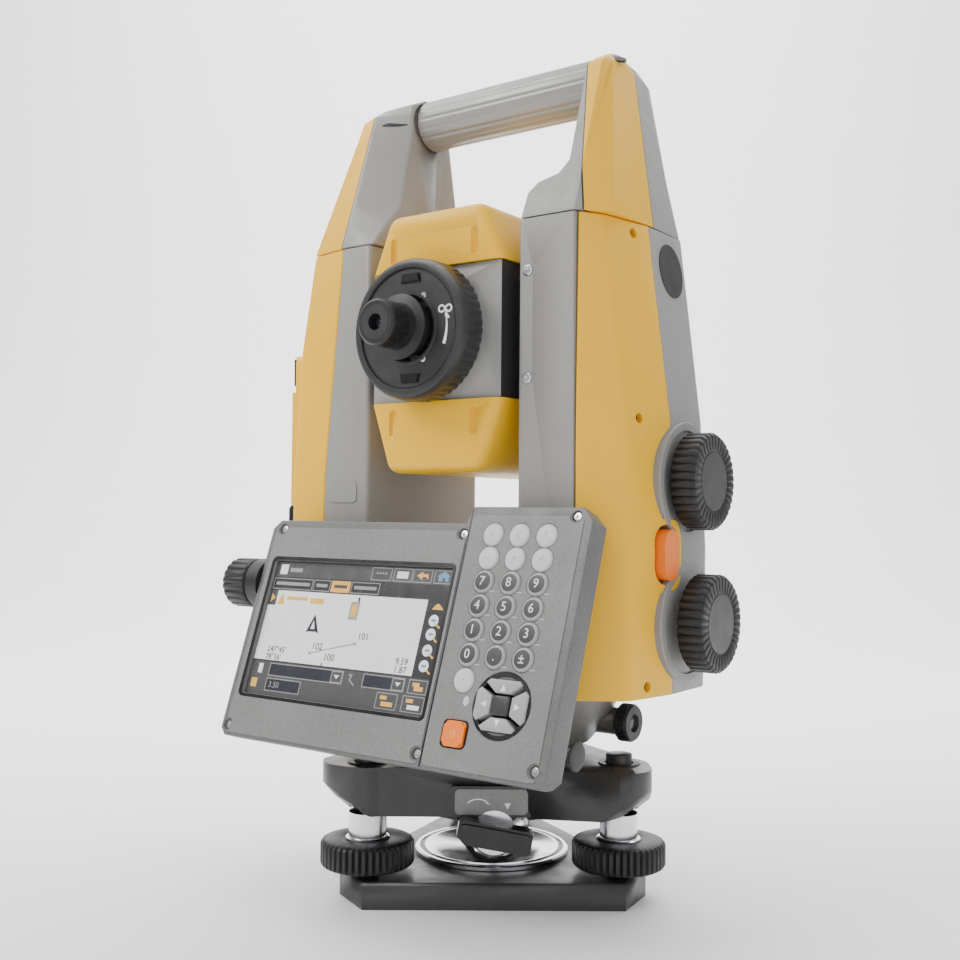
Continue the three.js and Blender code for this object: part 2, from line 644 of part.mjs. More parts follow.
function buildAlidade() {
  place("alidade_base", alidadeBase(), DARK_GREY());
  place("right_standard", columnFrame(RIGHT), GREY());
  place("left_standard", columnFrame(LEFT).mirror([1, 0, 0]), GREY());
  place("right_side_cover", rightCover(), YELLOW());
  place("right_side_panel", rightPanel(), GREY());
  const leftCover = cut(coverShell(LEFT), sidePrism(doorOutline(0), PANEL.innerX, OUTSIDE_X));
  place("left_side_cover", leftCover.mirror([1, 0, 0]), YELLOW());
  place("battery_door", batteryDoor().mirror([1, 0, 0]), YELLOW());
  place("battery_latch", batteryLatch().mirror([1, 0, 0]), BLACK());
  const batteryLow = DOOR.lowZ + 4;
  const battery = block(
    [-BATTERY_X - BATTERY.thick, -BATTERY.wide / 2, batteryLow],
    [-BATTERY_X, BATTERY.wide / 2, batteryLow + BATTERY.high],
  );
  place("battery_pack", battery, BLACK());

  for (const [name, knob] of [["vertical_knob", VERTICAL_KNOB], ["horizontal_knob", HORIZONTAL_KNOB]]) {
    place(name, fineKnob(PANEL.innerX, knob.faceX), BLACK(), instrument, [0, KNOB_Y, knob.z]);
  }
  place("trigger_key", triggerKey(), ORANGE());
  const cup = cut(
    rod(PLUMMET.r, PLUMMET.tipX - PLUMMET.length, PLUMMET.tipX, "x"),
    rod(PLUMMET.tubeR + RUN, PLUMMET.tipX - PLUMMET.length - 1, PLUMMET.tipX - 3 + RUN, "x"),
  );
  place("plummet_eyepiece", cup, BLACK(), instrument, [0, PLUMMET.y, PLUMMET.z]);
}

// ---------------------------------------------------------------- handle

const BAR = { r: 11.5, seat: 4 }; // its ends sit this deep in the posts
const BAR_Z = HEIGHT - BAR.r;
const POST_FOOT_X = COLUMN_INNER_X + 1;

// Plan sizes of a post from the seam up to its crown: its side leans in and its faces lean back.
// The inner face is `inner` out from the middle and `innerHalfY` deep each way.
function postLevels(column, heads) {
  const [, seamSide] = column.side.at(-1);
  const lean = (seamSide - POST_TOP_X) / (BAR_Z - SEAM_Z);
  const outer = (z) => Math.max(seamSide - lean * (z - SEAM_Z), POST_TOP_X);
  const crown = HEIGHT - 9;
  const leanBack = (COLUMN_HALF_Y / 2) / (crown - SEAM_Z);
  const halfY = (z) => COLUMN_HALF_Y - leanBack * (z - SEAM_Z);
  return [
    ...heads.map(({ rise, inner, innerHalfY }) => {
      const z = SEAM_Z + rise;
      return { z, inner, outer: outer(z), halfY: halfY(z), innerHalfY: innerHalfY ?? halfY(z) };
    }),
    ...[[0, 0, 1 / 2], [4.5, 2, 1 / 3], [9, 6, 1 / 9]].map(([rise, inset, share]) => {
      const { inner, innerHalfY } = heads.at(-1);
      const depth = COLUMN_HALF_Y * share;
      return {
        z: crown + rise,
        inner,
        outer: POST_TOP_X - inset,
        halfY: depth,
        innerHalfY: Math.min(innerHalfY ?? depth, depth),
      };
    }),
  ];
}

// The right post is cut back above the column, and the left one keeps its breadth.
const RIGHT_HEADS = [
  { rise: GAP, inner: POST_FOOT_X },
  { rise: 11, inner: POST_FOOT_X + 1 },
  { rise: 15, inner: POST_FOOT_X + 5 },
  { rise: 17.5, inner: POST_INNER_X - 4 },
  { rise: 23, inner: POST_INNER_X },
];
const LEFT_HEADS = [
  { rise: GAP, inner: LEFT_POST_INNER_X, innerHalfY: COLUMN_HALF_Y - 1 },
  { rise: 11, inner: LEFT_POST_INNER_X, innerHalfY: COLUMN_HALF_Y - 9 },
  { rise: 21, inner: LEFT_POST_INNER_X, innerHalfY: 21.5 },
  { rise: 57, inner: LEFT_POST_INNER_X, innerHalfY: 14.5 },
];

function handlePost(column, heads) {
  const levels = postLevels(column, heads).map(({ z, inner, outer, halfY, innerHalfY }) => {
    const crease = Math.min(column.creaseBack, halfY * 0.3);
    const strip = Math.max(Math.min(column.strip.at(-1)[1], outer - 2), inner + 1);
    return {
      z,
      outline: [
        [inner, -innerHalfY],
        [strip, -halfY],
        [outer - 1, -halfY + crease],
        [outer, 0],
        [outer - 1, halfY - crease],
        [strip, halfY],
        [inner, innerHalfY],
      ],
    };
  });
  const seat = heads.at(-1).inner + BAR.seat + GAP;
  return cut(loft(levels), rod(BAR.r + GAP, 0, seat, "x", [0, 0, BAR_Z]));
}

function buildHandle() {
  place("handle_right_post", handlePost(RIGHT, RIGHT_HEADS), YELLOW());
  place("handle_left_post", handlePost(LEFT, LEFT_HEADS).mirror([1, 0, 0]), YELLOW());
  const ends = [-LEFT_POST_INNER_X - BAR.seat, POST_INNER_X + BAR.seat];
  place("handle_bar", rod(BAR.r, ...ends, "x", [0, 0, BAR_Z]), GREY());
}

// ---------------------------------------------------------------- telescope

const TRUNNION_END = atHeight(LEFT.strip, TRUNNION_Z) - 2;
const CIRCLE_X = atHeight(RIGHT.strip, TRUNNION_Z) + GAP;

const telescopeSection = (halfX, low, high) => [
  [-halfX, low],
  [halfX, low],
  [halfX, high],
  [-halfX, high],
];

function telescopeBody() {
  const low = TRUNNION_Z - BAND_HALF_Z;
  const high = TRUNNION_Z + BAND_HALF_Z;
  const section = telescopeSection(TELESCOPE_HALF_X - 1, low, high);
  const band = wallPrism(section, TELESCOPE_FRONT_Y, TELESCOPE_BACK_Y - 6);
  const axis = [0, 0, TRUNNION_Z];
  const trunnion = rod(TRUNNION_R, -TRUNNION_END, CIRCLE_X + CIRCLE.thick, "x", axis);
  const collar = rod(22, FOCUS_FRONT_Y + FOCUS_WIDTH + RUN, TELESCOPE_FRONT_Y + 1, "y", axis);
  const neck = rod(NECK_R, FOCUS_FRONT_Y - 4, TELESCOPE_FRONT_Y + 1, "y", axis);
  const barrel = rod(BARREL_R, TELESCOPE_BACK_Y - 10, TELESCOPE_BACK_Y + 6, "y", axis, WIDE_ROUND);
  const solidBody = join(band, trunnion, collar, neck, barrel);
  return cut(
    solidBody,
    rod(5, FOCUS_FRONT_Y - 5, TELESCOPE_FRONT_Y + 20, "y", axis, 12),
    rod(OBJECTIVE_R + 1.6, TELESCOPE_FRONT_Y + 19, TELESCOPE_BACK_Y + 7, "y", axis),
  );
}

// A trapezoid with a flat front, hollow towards the telescope's body.
function telescopeCover(low, high, halfLow, halfHigh, openBelow) {
  const front = TELESCOPE_FRONT_Y - 2;
  const section = (inset) => [
    [-halfLow + inset, low + (openBelow ? -5 * Math.sign(inset) : inset)],
    [halfLow - inset, low + (openBelow ? -5 * Math.sign(inset) : inset)],
    [halfHigh - inset, high + (openBelow ? -inset : 5 * Math.sign(inset))],
    [-halfHigh + inset, high + (openBelow ? -inset : 5 * Math.sign(inset))],
  ];
  return cut(
    wallPrism(section(0), front, TELESCOPE_BACK_Y),
    wallPrism(section(WALL), front + WALL, TELESCOPE_BACK_Y - WALL),
  );
}

function buildTelescope() {
  place("telescope_body", telescopeBody(), BLACK());
  const topLow = TRUNNION_Z + BAND_HALF_Z + GAP;
  const bottomHigh = TRUNNION_Z - BAND_HALF_Z - GAP;
  const top = telescopeCover(topLow, TRUNNION_Z + TOP_COVER_RISE, TELESCOPE_HALF_X, 25, true);
  place("telescope_top_cover", top, YELLOW());
  const bottom = telescopeCover(TRUNNION_Z - BOTTOM_COVER_DROP, bottomHigh, 25, TELESCOPE_HALF_X, false);
  place("telescope_bottom_cover", bottom, YELLOW());

  const axis = [0, 0, TRUNNION_Z];
  const focusProfile = [
    [NECK_R + RUN, FOCUS_FRONT_Y],
    [FOCUS_R - 1.5, FOCUS_FRONT_Y],
    [FOCUS_R, FOCUS_FRONT_Y + 1.5],
    [FOCUS_R, FOCUS_FRONT_Y + FOCUS_WIDTH - 1],
    [FOCUS_R - 1, FOCUS_FRONT_Y + FOCUS_WIDTH],
    [NECK_R + RUN, FOCUS_FRONT_Y + FOCUS_WIDTH],
    [NECK_R + RUN, FOCUS_FRONT_Y],
  ];
  place("focusing_ring", turned(focusProfile, "y", axis, WIDE_ROUND), BLACK());
  const eyeBack = FOCUS_FRONT_Y - 4 - GAP;
  const eyeProfile = [
    [3.5, eyeBack],
    [EYEPIECE_R + 4, eyeBack],
    [EYEPIECE_R + 4, eyeBack - 5],
    [EYEPIECE_R, eyeBack - 6],
    [EYEPIECE_R, EYEPIECE_FRONT_Y + 1],
    [EYEPIECE_R - 1, EYEPIECE_FRONT_Y],
    [3.5, EYEPIECE_FRONT_Y],
    [3.5, eyeBack],
  ];
  place("eyepiece_ring", turned(eyeProfile, "y", axis), BLACK());
  const lens = turned([
    [0, TELESCOPE_BACK_Y - 4],
    [OBJECTIVE_R + 1.2, TELESCOPE_BACK_Y - 4],
    [OBJECTIVE_R + 1.2, TELESCOPE_BACK_Y + 2],
    [OBJECTIVE_R, TELESCOPE_BACK_Y + 2],
    [OBJECTIVE_R * 0.5, TELESCOPE_BACK_Y + 3.2],
    [0, TELESCOPE_BACK_Y + 3.6],
  ], "y", axis, WIDE_ROUND);
  place("objective_lens", lens, GLASS());
  const circle = ring(TRUNNION_R + GAP, CIRCLE.r, CIRCLE_X, CIRCLE_X + CIRCLE.thick, "x", axis, WIDE_ROUND);
  place("vertical_circle", circle, GLASS());
}

// ---------------------------------------------------------------- display unit

const KEY_ROWS = 6;
const KEY_COLUMNS = 3;
const KEY_SIDES = 12;
const FLANGE = 0.55; // how far a key's flange reaches past its cap
const keySpots = Array.from({ length: KEY_ROWS * KEY_COLUMNS }, (_, i) => {
  const row = Math.floor(i / KEY_COLUMNS);
  const column = i % KEY_COLUMNS;
  return {
    name: `key_${row + 1}_${column + 1}`,
    x: KEY_FIRST.x + column * KEY_PITCH_X,
    h: KEY_FIRST.h - row * KEY_PITCH_H,
    white: row < 2,
  };
});

// The four arrow keys fill an oblong with cut corners, split along its diagonals round the middle key.
function padOutline(direction) {
  const { halfX, halfH, core, groove } = PAD;
  const [reach, side] = direction % 2 === 0 ? [halfX, halfH] : [halfH, halfX];
  const inner = core + groove;
  const slope = (side - PAD_CORNER - core) / (reach - core);
  const wing = core + slope * (reach - core) - groove / 2;
  const outline = [
    [inner, -core + groove / 2],
    [reach - PAD_CORNER / 2, -wing],
    [reach, -wing + PAD_CORNER / 2],
    [reach, wing - PAD_CORNER / 2],
    [reach - PAD_CORNER / 2, wing],
    [inner, core - groove / 2],
  ];
  return outline.map((point) => turnPoint(point, (direction * Math.PI) / 2));
}

const PAD_CORNER = 3;
const square = (x, h, half, r) => roundedOutline(x - half, x + half, h - half, h + half, r, 2);

function displayHousing() {
  const front = [
    [DISPLAY_LEFT + 3, 0],
    [DISPLAY_RIGHT - 4, 0],
    [DISPLAY_RIGHT, 4],
    [DISPLAY_RIGHT, KEYPAD_PART_H - 5],
    [DISPLAY_RIGHT - 5, KEYPAD_PART_H],
    [DISPLAY_SPLIT, KEYPAD_PART_H],
    [DISPLAY_SPLIT - 2, SCREEN_PART_H],
    [DISPLAY_LEFT + 4, SCREEN_PART_H],
    [DISPLAY_LEFT, SCREEN_PART_H - 4],
    [DISPLAY_LEFT, 3],
  ];
  const tilt = (body) => body.rotate([-DISPLAY_TILT, 0, 0]).translate([0, DISPLAY_FOOT_Y, DISPLAY_FOOT_Z]);
  const untilt = (body) =>
    body.translate([0, -DISPLAY_FOOT_Y, -DISPLAY_FOOT_Z]).rotate([DISPLAY_TILT, 0, 0]);
  const backY = -COLUMN_HALF_Y - 0.5;
  const room = cut(
    block([DISPLAY_LEFT - 5, -120, CONE_LOW_Z + 0.5], [DISPLAY_RIGHT + 5, backY, 200]),
    rod(CONE_TOP_R + GAP, 0, COLUMN_FOOT_Z + GAP, "z", [0, 0, 0], WIDE_ROUND),
  );
  const { left: humpLeft, right: humpRight, low: humpLow, high: humpHigh } = DISPLAY_HUMP;
  const hump = block([humpLeft, 1, humpLow], [humpRight, DISPLAY_DEPTH, humpHigh]);
  const whole = join(wallPrism(front, 0, DISPLAY_EDGE_DEPTH), hump);
  const outside = untilt(tilt(whole).intersect(room));
  const roomInside = cut(
    block([DISPLAY_LEFT - 5, -120, CONE_LOW_Z + 0.5 + WALL], [DISPLAY_RIGHT + 5, backY - WALL, 200]),
    rod(CONE_TOP_R + GAP + WALL, 0, COLUMN_FOOT_Z + GAP + WALL, "z", [0, 0, 0], WIDE_ROUND),
  );
  const keypadHollow = join(
    block(
      [DISPLAY_SPLIT + 2, FACE_WALL, WALL],
      [DISPLAY_RIGHT - WALL, DISPLAY_EDGE_DEPTH - FACE_WALL, KEYPAD_PART_H - FACE_WALL],
    ),
    block(
      [DISPLAY_SPLIT + 2, FACE_WALL, humpLow + WALL],
      [humpRight - WALL, DISPLAY_DEPTH - WALL, humpHigh - WALL],
    ),
  );
  const inside = untilt(tilt(keypadHollow).intersect(roomInside));
  const hole = (spot) => rod(KEY_R + GAP, -1, FACE_WALL + 1, "y", [spot.x, 0, spot.h], KEY_SIDES);
  const { left, right, low, high, depth } = SCREEN;
  const padOpening = roundedOutline(
    PAD.x - PAD.halfX - GAP,
    PAD.x + PAD.halfX + GAP,
    PAD.h - PAD.halfH - GAP,
    PAD.h + PAD.halfH + GAP,
    PAD_CORNER,
    1,
  );
  return cut(
    outside,
    inside,
    wallPrism([[left, low], [right, low], [right, high], [left, high]], -1, depth),
    ...keySpots.map(hole),
    hole(ALPHA_KEY),
    wallPrism(square(POWER_KEY.x, POWER_KEY.h, POWER_KEY.half + GAP, 1.6), -1, FACE_WALL + 1),
    wallPrism(padOpening, -1, FACE_WALL + 1),
  );
}

// A round key, its face towards -Y, with the flange that holds it behind the front wall.
function roundKey() {
  return turned([
    [0, -KEY_PROUD],
    [KEY_R, -KEY_PROUD],
    [KEY_R, FACE_WALL + GAP],
    [KEY_R + FLANGE, FACE_WALL + GAP],
    [KEY_R + FLANGE, FACE_WALL + GAP + 1],
    [0, FACE_WALL + GAP + 1],
  ], "y", [0, 0, 0], KEY_SIDES);
}

const flatKey = (outline) => wallPrism(outline, -KEY_PROUD, FACE_WALL + GAP + 1);

function buildDisplay() {
  place("display_housing", displayHousing(), DARK_GREY(), display);
  const { left, right, low, high, depth } = SCREEN;
  const screen = block([left + GAP, 0.6, low + GAP], [right - GAP, depth - GAP, high - GAP]);
  place("touch_screen", screen, GLASS(), display);
  for (const spot of keySpots) {
    place(spot.name, roundKey(), spot.white ? KEY_WHITE() : KEY_GREY(), display, [spot.x, 0, spot.h]);
  }
  place("alpha_key", roundKey(), KEY_WHITE(), display, [ALPHA_KEY.x, 0, ALPHA_KEY.h]);
  const power = flatKey(square(0, 0, POWER_KEY.half, 1.6));
  place("power_key", power, ORANGE(), display, [POWER_KEY.x, 0, POWER_KEY.h]);
  ["arrow_key_right", "arrow_key_up", "arrow_key_left", "arrow_key_down"].forEach((name, side) => {
    place(name, flatKey(padOutline(side)), KEY_GREY(), display, [PAD.x, 0, PAD.h]);
  });
  place("centre_key", flatKey(square(0, 0, PAD.core, 1)), KEY_GREY(), display, [PAD.x, 0, PAD.h]);

  const knobBack = DISPLAY_LEFT - RUN;
  const knob = turned([
    [0, knobBack - SIDE_KNOB.length - 8],
    [SIDE_KNOB.r - 2, knobBack - SIDE_KNOB.length - 8],
    [SIDE_KNOB.r, knobBack - SIDE_KNOB.length - 6],
    [SIDE_KNOB.r, knobBack - 8],
    [SIDE_KNOB.r - 2, knobBack],
    [0, knobBack],
  ], "x", [0, 0, 0], 24);
  place("display_clamp_knob", knob, BLACK(), instrument, [0, SIDE_KNOB.y, SIDE_KNOB.z]);
}

buildTribrach();
buildAlidade();
buildHandle();
buildTelescope();
buildDisplay();

export default instrument;
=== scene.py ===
"""Looks of the surveying total station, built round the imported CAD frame. Sizes are in millimetres
until a mesh is made, where they become metres."""
import json
from math import atan2, cos, degrees, pi, radians, sin, tan

import bmesh
import bpy
from mathutils import Matrix, Vector


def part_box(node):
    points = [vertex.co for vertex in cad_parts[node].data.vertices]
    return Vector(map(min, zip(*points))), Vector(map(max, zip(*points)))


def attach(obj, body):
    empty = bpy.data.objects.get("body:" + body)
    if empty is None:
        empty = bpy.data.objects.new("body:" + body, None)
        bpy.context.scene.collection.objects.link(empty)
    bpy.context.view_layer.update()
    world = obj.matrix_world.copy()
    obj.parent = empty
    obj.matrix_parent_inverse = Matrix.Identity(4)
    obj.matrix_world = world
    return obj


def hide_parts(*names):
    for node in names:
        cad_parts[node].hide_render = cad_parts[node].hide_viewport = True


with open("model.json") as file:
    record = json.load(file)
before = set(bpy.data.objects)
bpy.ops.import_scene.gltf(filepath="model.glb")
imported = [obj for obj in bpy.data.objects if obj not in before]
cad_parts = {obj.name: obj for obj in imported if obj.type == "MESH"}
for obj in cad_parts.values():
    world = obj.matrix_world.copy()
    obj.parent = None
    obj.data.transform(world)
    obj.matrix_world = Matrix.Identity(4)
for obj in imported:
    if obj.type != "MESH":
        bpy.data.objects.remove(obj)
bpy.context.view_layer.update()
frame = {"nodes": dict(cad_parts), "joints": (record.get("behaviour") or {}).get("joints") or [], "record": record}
MM = 0.001
NODES = frame["nodes"]
JOINTS = {joint["name"]: joint for joint in frame["joints"]}
NODE_BODY = {node: body for body, nodes in frame["record"]["behaviour"]["bodies"].items() for node in nodes}


# ------------------------------------------------------------------ places taken from the frame

def box(node):
    """The corners of a CAD node."""
    low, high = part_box(node)
    return low / MM, high / MM


def middle(node):
    """The middle of a CAD node."""
    low, high = box(node)
    return (low + high) / 2


TILT = atan2(-JOINTS["key_1_1_press"]["axis"][2], JOINTS["key_1_1_press"]["axis"][1])
DISPLAY_FOOT_Z = 65  # lower front edge of the display
DISPLAY_FRONT = Matrix.Translation((0, box("display_housing")[0].y,
    DISPLAY_FOOT_Z)) @ Matrix.Rotation(-TILT, 4, "X")
TURN = radians(36.7)  # the tribrach is turned from the operator's side
TRIBRACH = Matrix.Rotation(TURN, 4, "Z")
TRUNNION_Z = JOINTS["telescope_tilt"]["pos_m"][2] / MM
IDENTITY = Matrix.Identity(4)


# ------------------------------------------------------------------ materials

def surface(name, colour, roughness, metal=0.0, grain=0.0, grain_size=0.5, vary=0.06, coat=0.0):
    """A moulded, painted or turned finish: fine grain in the bump and small drifts of tone and gloss."""
    material = bpy.data.materials.new(name)
    material.use_nodes = True
    nodes, links = material.node_tree.nodes, material.node_tree.links
    shader = nodes["Principled BSDF"]
    shader.inputs["Metallic"].default_value = metal
    shader.inputs["Coat Weight"].default_value = coat
    shader.inputs["Coat Roughness"].default_value = 0.15
    place = nodes.new("ShaderNodeTexCoord")

    def noise(size, detail=3.0):
        node = nodes.new("ShaderNodeTexNoise")
        node.inputs["Scale"].default_value = 1 / (size * MM)
        node.inputs["Detail"].default_value = detail
        links.new(place.outputs["Object"], node.inputs["Vector"])
        return node.outputs["Fac"]

    def tones(source, low, high):
        node = nodes.new("ShaderNodeMapRange")
        node.inputs["From Min"].default_value = 0.35
        node.inputs["From Max"].default_value = 0.65
        node.inputs["To Min"].default_value = low
        node.inputs["To Max"].default_value = high
        links.new(source, node.inputs["Value"])
        return node.outputs["Result"]

    drift = noise(38.0)
    speck = noise(grain_size * 1.6, 2.0)
    blend = nodes.new("ShaderNodeMix")
    blend.data_type = "RGBA"
    blend.inputs["A"].default_value = (*[c * (1 - vary) for c in colour], 1)
    blend.inputs["B"].default_value = (*[min(c * (1 + vary), 1) for c in colour], 1)
    add = nodes.new("ShaderNodeMath")
    add.operation = "MULTIPLY_ADD"
    add.inputs[1].default_value = 0.5
    links.new(tones(speck, 0, 1), add.inputs[0])
    links.new(tones(drift, 0, 0.5), add.inputs[2])
    links.new(add.outputs[0], blend.inputs["Factor"])
    links.new(blend.outputs["Result"], shader.inputs["Base Color"])
    links.new(tones(noise(9.0), roughness - 0.05, roughness + 0.05), shader.inputs["Roughness"])
    if grain:
        bump = nodes.new("ShaderNodeBump")
        bump.inputs["Strength"].default_value = grain
        bump.inputs["Distance"].default_value = 0.06 * MM
        links.new(noise(grain_size, 2.0), bump.inputs["Height"])
        links.new(bump.outputs["Normal"], shader.inputs["Normal"])
    return material


def turned_metal(name, colour, roughness, axis="Z"):
    """Turned steel: fine rings round an axis, seen in the bump."""
    material = surface(name, colour, roughness, metal=1.0, vary=0.04)
    nodes, links = material.node_tree.nodes, material.node_tree.links
    wave = nodes.new("ShaderNodeTexNoise")
    wave.inputs["Scale"].default_value = 1 / (0.4 * MM)
    squeeze = nodes.new("ShaderNodeMapping")
    squeeze.inputs["Scale"].default_value = [1.0 if a == axis else 0.02 for a in "XYZ"]
    links.new(nodes.new("ShaderNodeTexCoord").outputs["Object"], squeeze.inputs["Vector"])
    links.new(squeeze.outputs["Vector"], wave.inputs["Vector"])
    bump = nodes.new("ShaderNodeBump")
    bump.inputs["Strength"].default_value = 0.12
    bump.inputs["Distance"].default_value = 0.03 * MM
    links.new(wave.outputs["Fac"], bump.inputs["Height"])
    links.new(bump.outputs["Normal"], nodes["Principled BSDF"].inputs["Normal"])
    return material


def lit(name, colour, strength):
    """A patch of the screen's picture: it glows a little, with fine pixel noise in its tone."""
    material = surface(name, colour, 0.25, grain_size=0.3, vary=0.04)
    shader = material.node_tree.nodes["Principled BSDF"]
    source = shader.inputs["Base Color"].links[0].from_socket
    material.node_tree.links.new(source, shader.inputs["Emission Color"])
    shader.inputs["Emission Strength"].default_value = strength
    return material


def clear(name, colour, roughness=0.02):
    """Glass."""
    material = surface(name, colour, roughness + 0.05, vary=0.02)
    shader = material.node_tree.nodes["Principled BSDF"]
    shader.inputs["Transmission Weight"].default_value = 0.9
    shader.inputs["IOR"].default_value = 1.5
    return material


YELLOW = surface("yellow", (0.92, 0.5, 0.0), 0.45, grain=0.25, grain_size=0.6, vary=0.02)
GREY = surface("grey", (0.29, 0.284, 0.27), 0.45, grain=0.35, grain_size=0.7, vary=0.04)
PANEL_GREY = surface("panel_grey", (0.275, 0.27, 0.258), 0.45, grain=0.3, grain_size=0.6, vary=0.03)
DARK = surface("dark_grey", (0.135, 0.133, 0.128), 0.42, grain=0.6, grain_size=0.9, vary=0.16)
FACE = surface("keypad_grey", (0.2, 0.198, 0.192), 0.44, grain=0.6, grain_size=0.8, vary=0.14)
CAST = surface("cast_grey", (0.028, 0.028, 0.029), 0.36, grain=0.35, grain_size=0.8, vary=0.1)
BLACK = surface("black_paint", (0.011, 0.011, 0.012), 0.45, grain=0.5, grain_size=0.7, vary=0.14)
RUBBER = surface("black_rubber", (0.009, 0.009, 0.0095), 0.5, grain=0.3, grain_size=0.5, vary=0.12)
GLOSS = surface("black_plastic", (0.006, 0.006, 0.0065), 0.28, vary=0.1)
HUB = surface("dark_hub", (0.03, 0.03, 0.031), 0.4, grain=0.5, grain_size=0.7, vary=0.12)
ORANGE = surface("orange", (1.0, 0.2, 0.0), 0.45, grain=0.2, vary=0.03)
KEY_WHITE = surface("key_white", (0.6, 0.6, 0.59), 0.4, grain=0.15, vary=0.03)
KEY_GREY = surface("key_grey", (0.36, 0.36, 0.35), 0.38, grain=0.2, vary=0.05)
KEY_RING = surface("key_ring", (0.045, 0.045, 0.045), 0.42, vary=0.05)
WHITE = surface("white_print", (0.85, 0.85, 0.83), 0.5, vary=0.02)
STEEL = turned_metal("steel", (0.78, 0.78, 0.8), 0.16)
STEEL_Y = turned_metal("steel_y", (0.75, 0.75, 0.77), 0.2, "Y")
SCREW_STEEL = surface("screw_steel", (0.72, 0.72, 0.73), 0.22, metal=1.0, grain=0.15, vary=0.05)
ALUMINIUM = surface("grey_tube", (0.33, 0.325, 0.31), 0.36, metal=0.25, grain=0.2, vary=0.03)
SCREEN_DARK = lit("screen_dark", (0.035, 0.035, 0.037), 0.15)
SCREEN_BAR = lit("screen_bar", (0.075, 0.075, 0.075), 0.15)
SCREEN_MAP = lit("screen_map", (0.78, 0.79, 0.8), 0.22)
SCREEN_AMBER = lit("screen_amber", (0.75, 0.42, 0.08), 0.25)
SCREEN_BLUE = lit("screen_blue", (0.13, 0.28, 0.42), 0.25)
SCREEN_LINE = lit("screen_line", (0.3, 0.3, 0.3), 0.1)
SCREEN_INK = lit("screen_ink", (0.03, 0.03, 0.04), 0.02)
LENS = clear("coated_glass", (0.35, 0.3, 0.5))
VIAL = clear("vial_glass", (0.75, 0.95, 0.55))
AMBER = surface("amber_legend", (0.75, 0.45, 0.15), 0.5, vary=0.03)


# ------------------------------------------------------------------ meshes

PIECES = []


def piece(name, bm, material, body, matrix=IDENTITY, smooth=32.0, slot=None, replaces=()):
    """Turns a bmesh in millimetres into a piece that rides on a body."""
    bm.transform(Matrix.Scale(MM, 4) @ matrix)
    bmesh.ops.recalc_face_normals(bm, faces=bm.faces)
    mesh = bpy.data.meshes.new(name)
    bm.to_mesh(mesh)
    bm.free()
    mesh.materials.append(material)
    mesh.polygons.foreach_set("use_smooth", [True] * len(mesh.polygons))
    mesh.set_sharp_from_angle(angle=radians(smooth))
    obj = bpy.data.objects.new(name, mesh)
    bpy.context.scene.collection.objects.link(obj)
    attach(obj, body)
    if replaces:
        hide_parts(*replaces)
    PIECES.append(obj)
    return obj


def stand_in(node, bm, material, matrix=IDENTITY, smooth=32.0, name=None):
    """A finished piece that takes a CAD node's place."""
    slots = {part["node"]: part["material_slot"] for part in frame["record"]["subparts"]}
    return piece(name or node + "_finish", bm, material, NODE_BODY[node], matrix, smooth, slots[node],
        (node,))


AXIS_TURN = {"z": IDENTITY, "x": Matrix.Rotation(pi / 2, 4, "Y"), "y": Matrix.Rotation(-pi / 2, 4, "X")}


def lathe(profile, axis="z", at=(0, 0, 0), sides=96, bm=None, dent=None):
    """A profile of (radius, distance along the axis[, dent depth, dent along]) turned round an axis.
    dent(angle) is 0 to 1 and pulls a row in by its dent depth and along the axis."""
    made = bmesh.new()
    rows = []
    for point in profile:
        r, along, deep, shift = (*point, 0, 0)[:4]
        if r < 1e-6:
            rows.append([made.verts.new((0, 0, along))])
            continue
        row = []
        for i in range(sides):
            a = 2 * pi * i / sides
            pull = dent(a) if dent else 0
            row.append(made.verts.new(((r - deep * pull) * cos(a), (r - deep * pull) * sin(a),
                along - shift * pull)))
        rows.append(row)
    for low, high in zip(rows, rows[1:]):
        for i in range(sides):
            j = (i + 1) % sides
            ring = [low[i % len(low)], low[j % len(low)], high[j % len(high)], high[i % len(high)]]
            ring = [v for k, v in enumerate(ring) if v not in ring[:k]]
            if len(ring) > 2:
                made.faces.new(ring)
    for row in (rows[0], rows[-1]):
        if len(row) > 1:
            made.faces.new(row)
    made.transform(Matrix.Translation(at) @ AXIS_TURN[axis])
    return merged(bm, made)


def merged(bm, made):
    """made added to bm, or made itself."""
    if bm is None:
        return made
    spare = bpy.data.meshes.new("spare")
    made.to_mesh(spare)
    made.free()
    bm.from_mesh(spare)
    bpy.data.meshes.remove(spare)
    return bm


def ring_band(inner, outer, low, high, axis="z", at=(0, 0, 0), edge=0.3, sides=96, bm=None):
    """A ring with eased outer edges."""
    made = bmesh.new()
    profile = [
        (inner, low), (outer - edge, low), (outer, low + edge), (outer, high - edge),
        (outer - edge, high), (inner, high),
    ]
    rows = []
    for r, along in profile:
        rows.append([made.verts.new((r * cos(2 * pi * i / sides), r * sin(2 * pi * i / sides), along))
            for i in range(sides)])
    for a, b in zip(rows, rows[1:] + rows[:1]):
        for i in range(sides):
            j = (i + 1) % sides
            made.faces.new([a[i], a[j], b[j], b[i]])
    made.transform(Matrix.Translation(at) @ AXIS_TURN[axis])
    return merged(bm, made)


def rounded(x0, x1, y0, y1, r, steps=6):
    """A rectangle's outline with round corners, anticlockwise."""
    corners = [(x1 - r, y1 - r), (x0 + r, y1 - r), (x0 + r, y0 + r), (x1 - r, y0 + r)]
    return [
        (cx + r * cos((quarter + step / steps) * pi / 2), cy + r * sin((quarter + step / steps) * pi / 2))
        for quarter, (cx, cy) in enumerate(corners)
        for step in range(steps + 1)
    ]


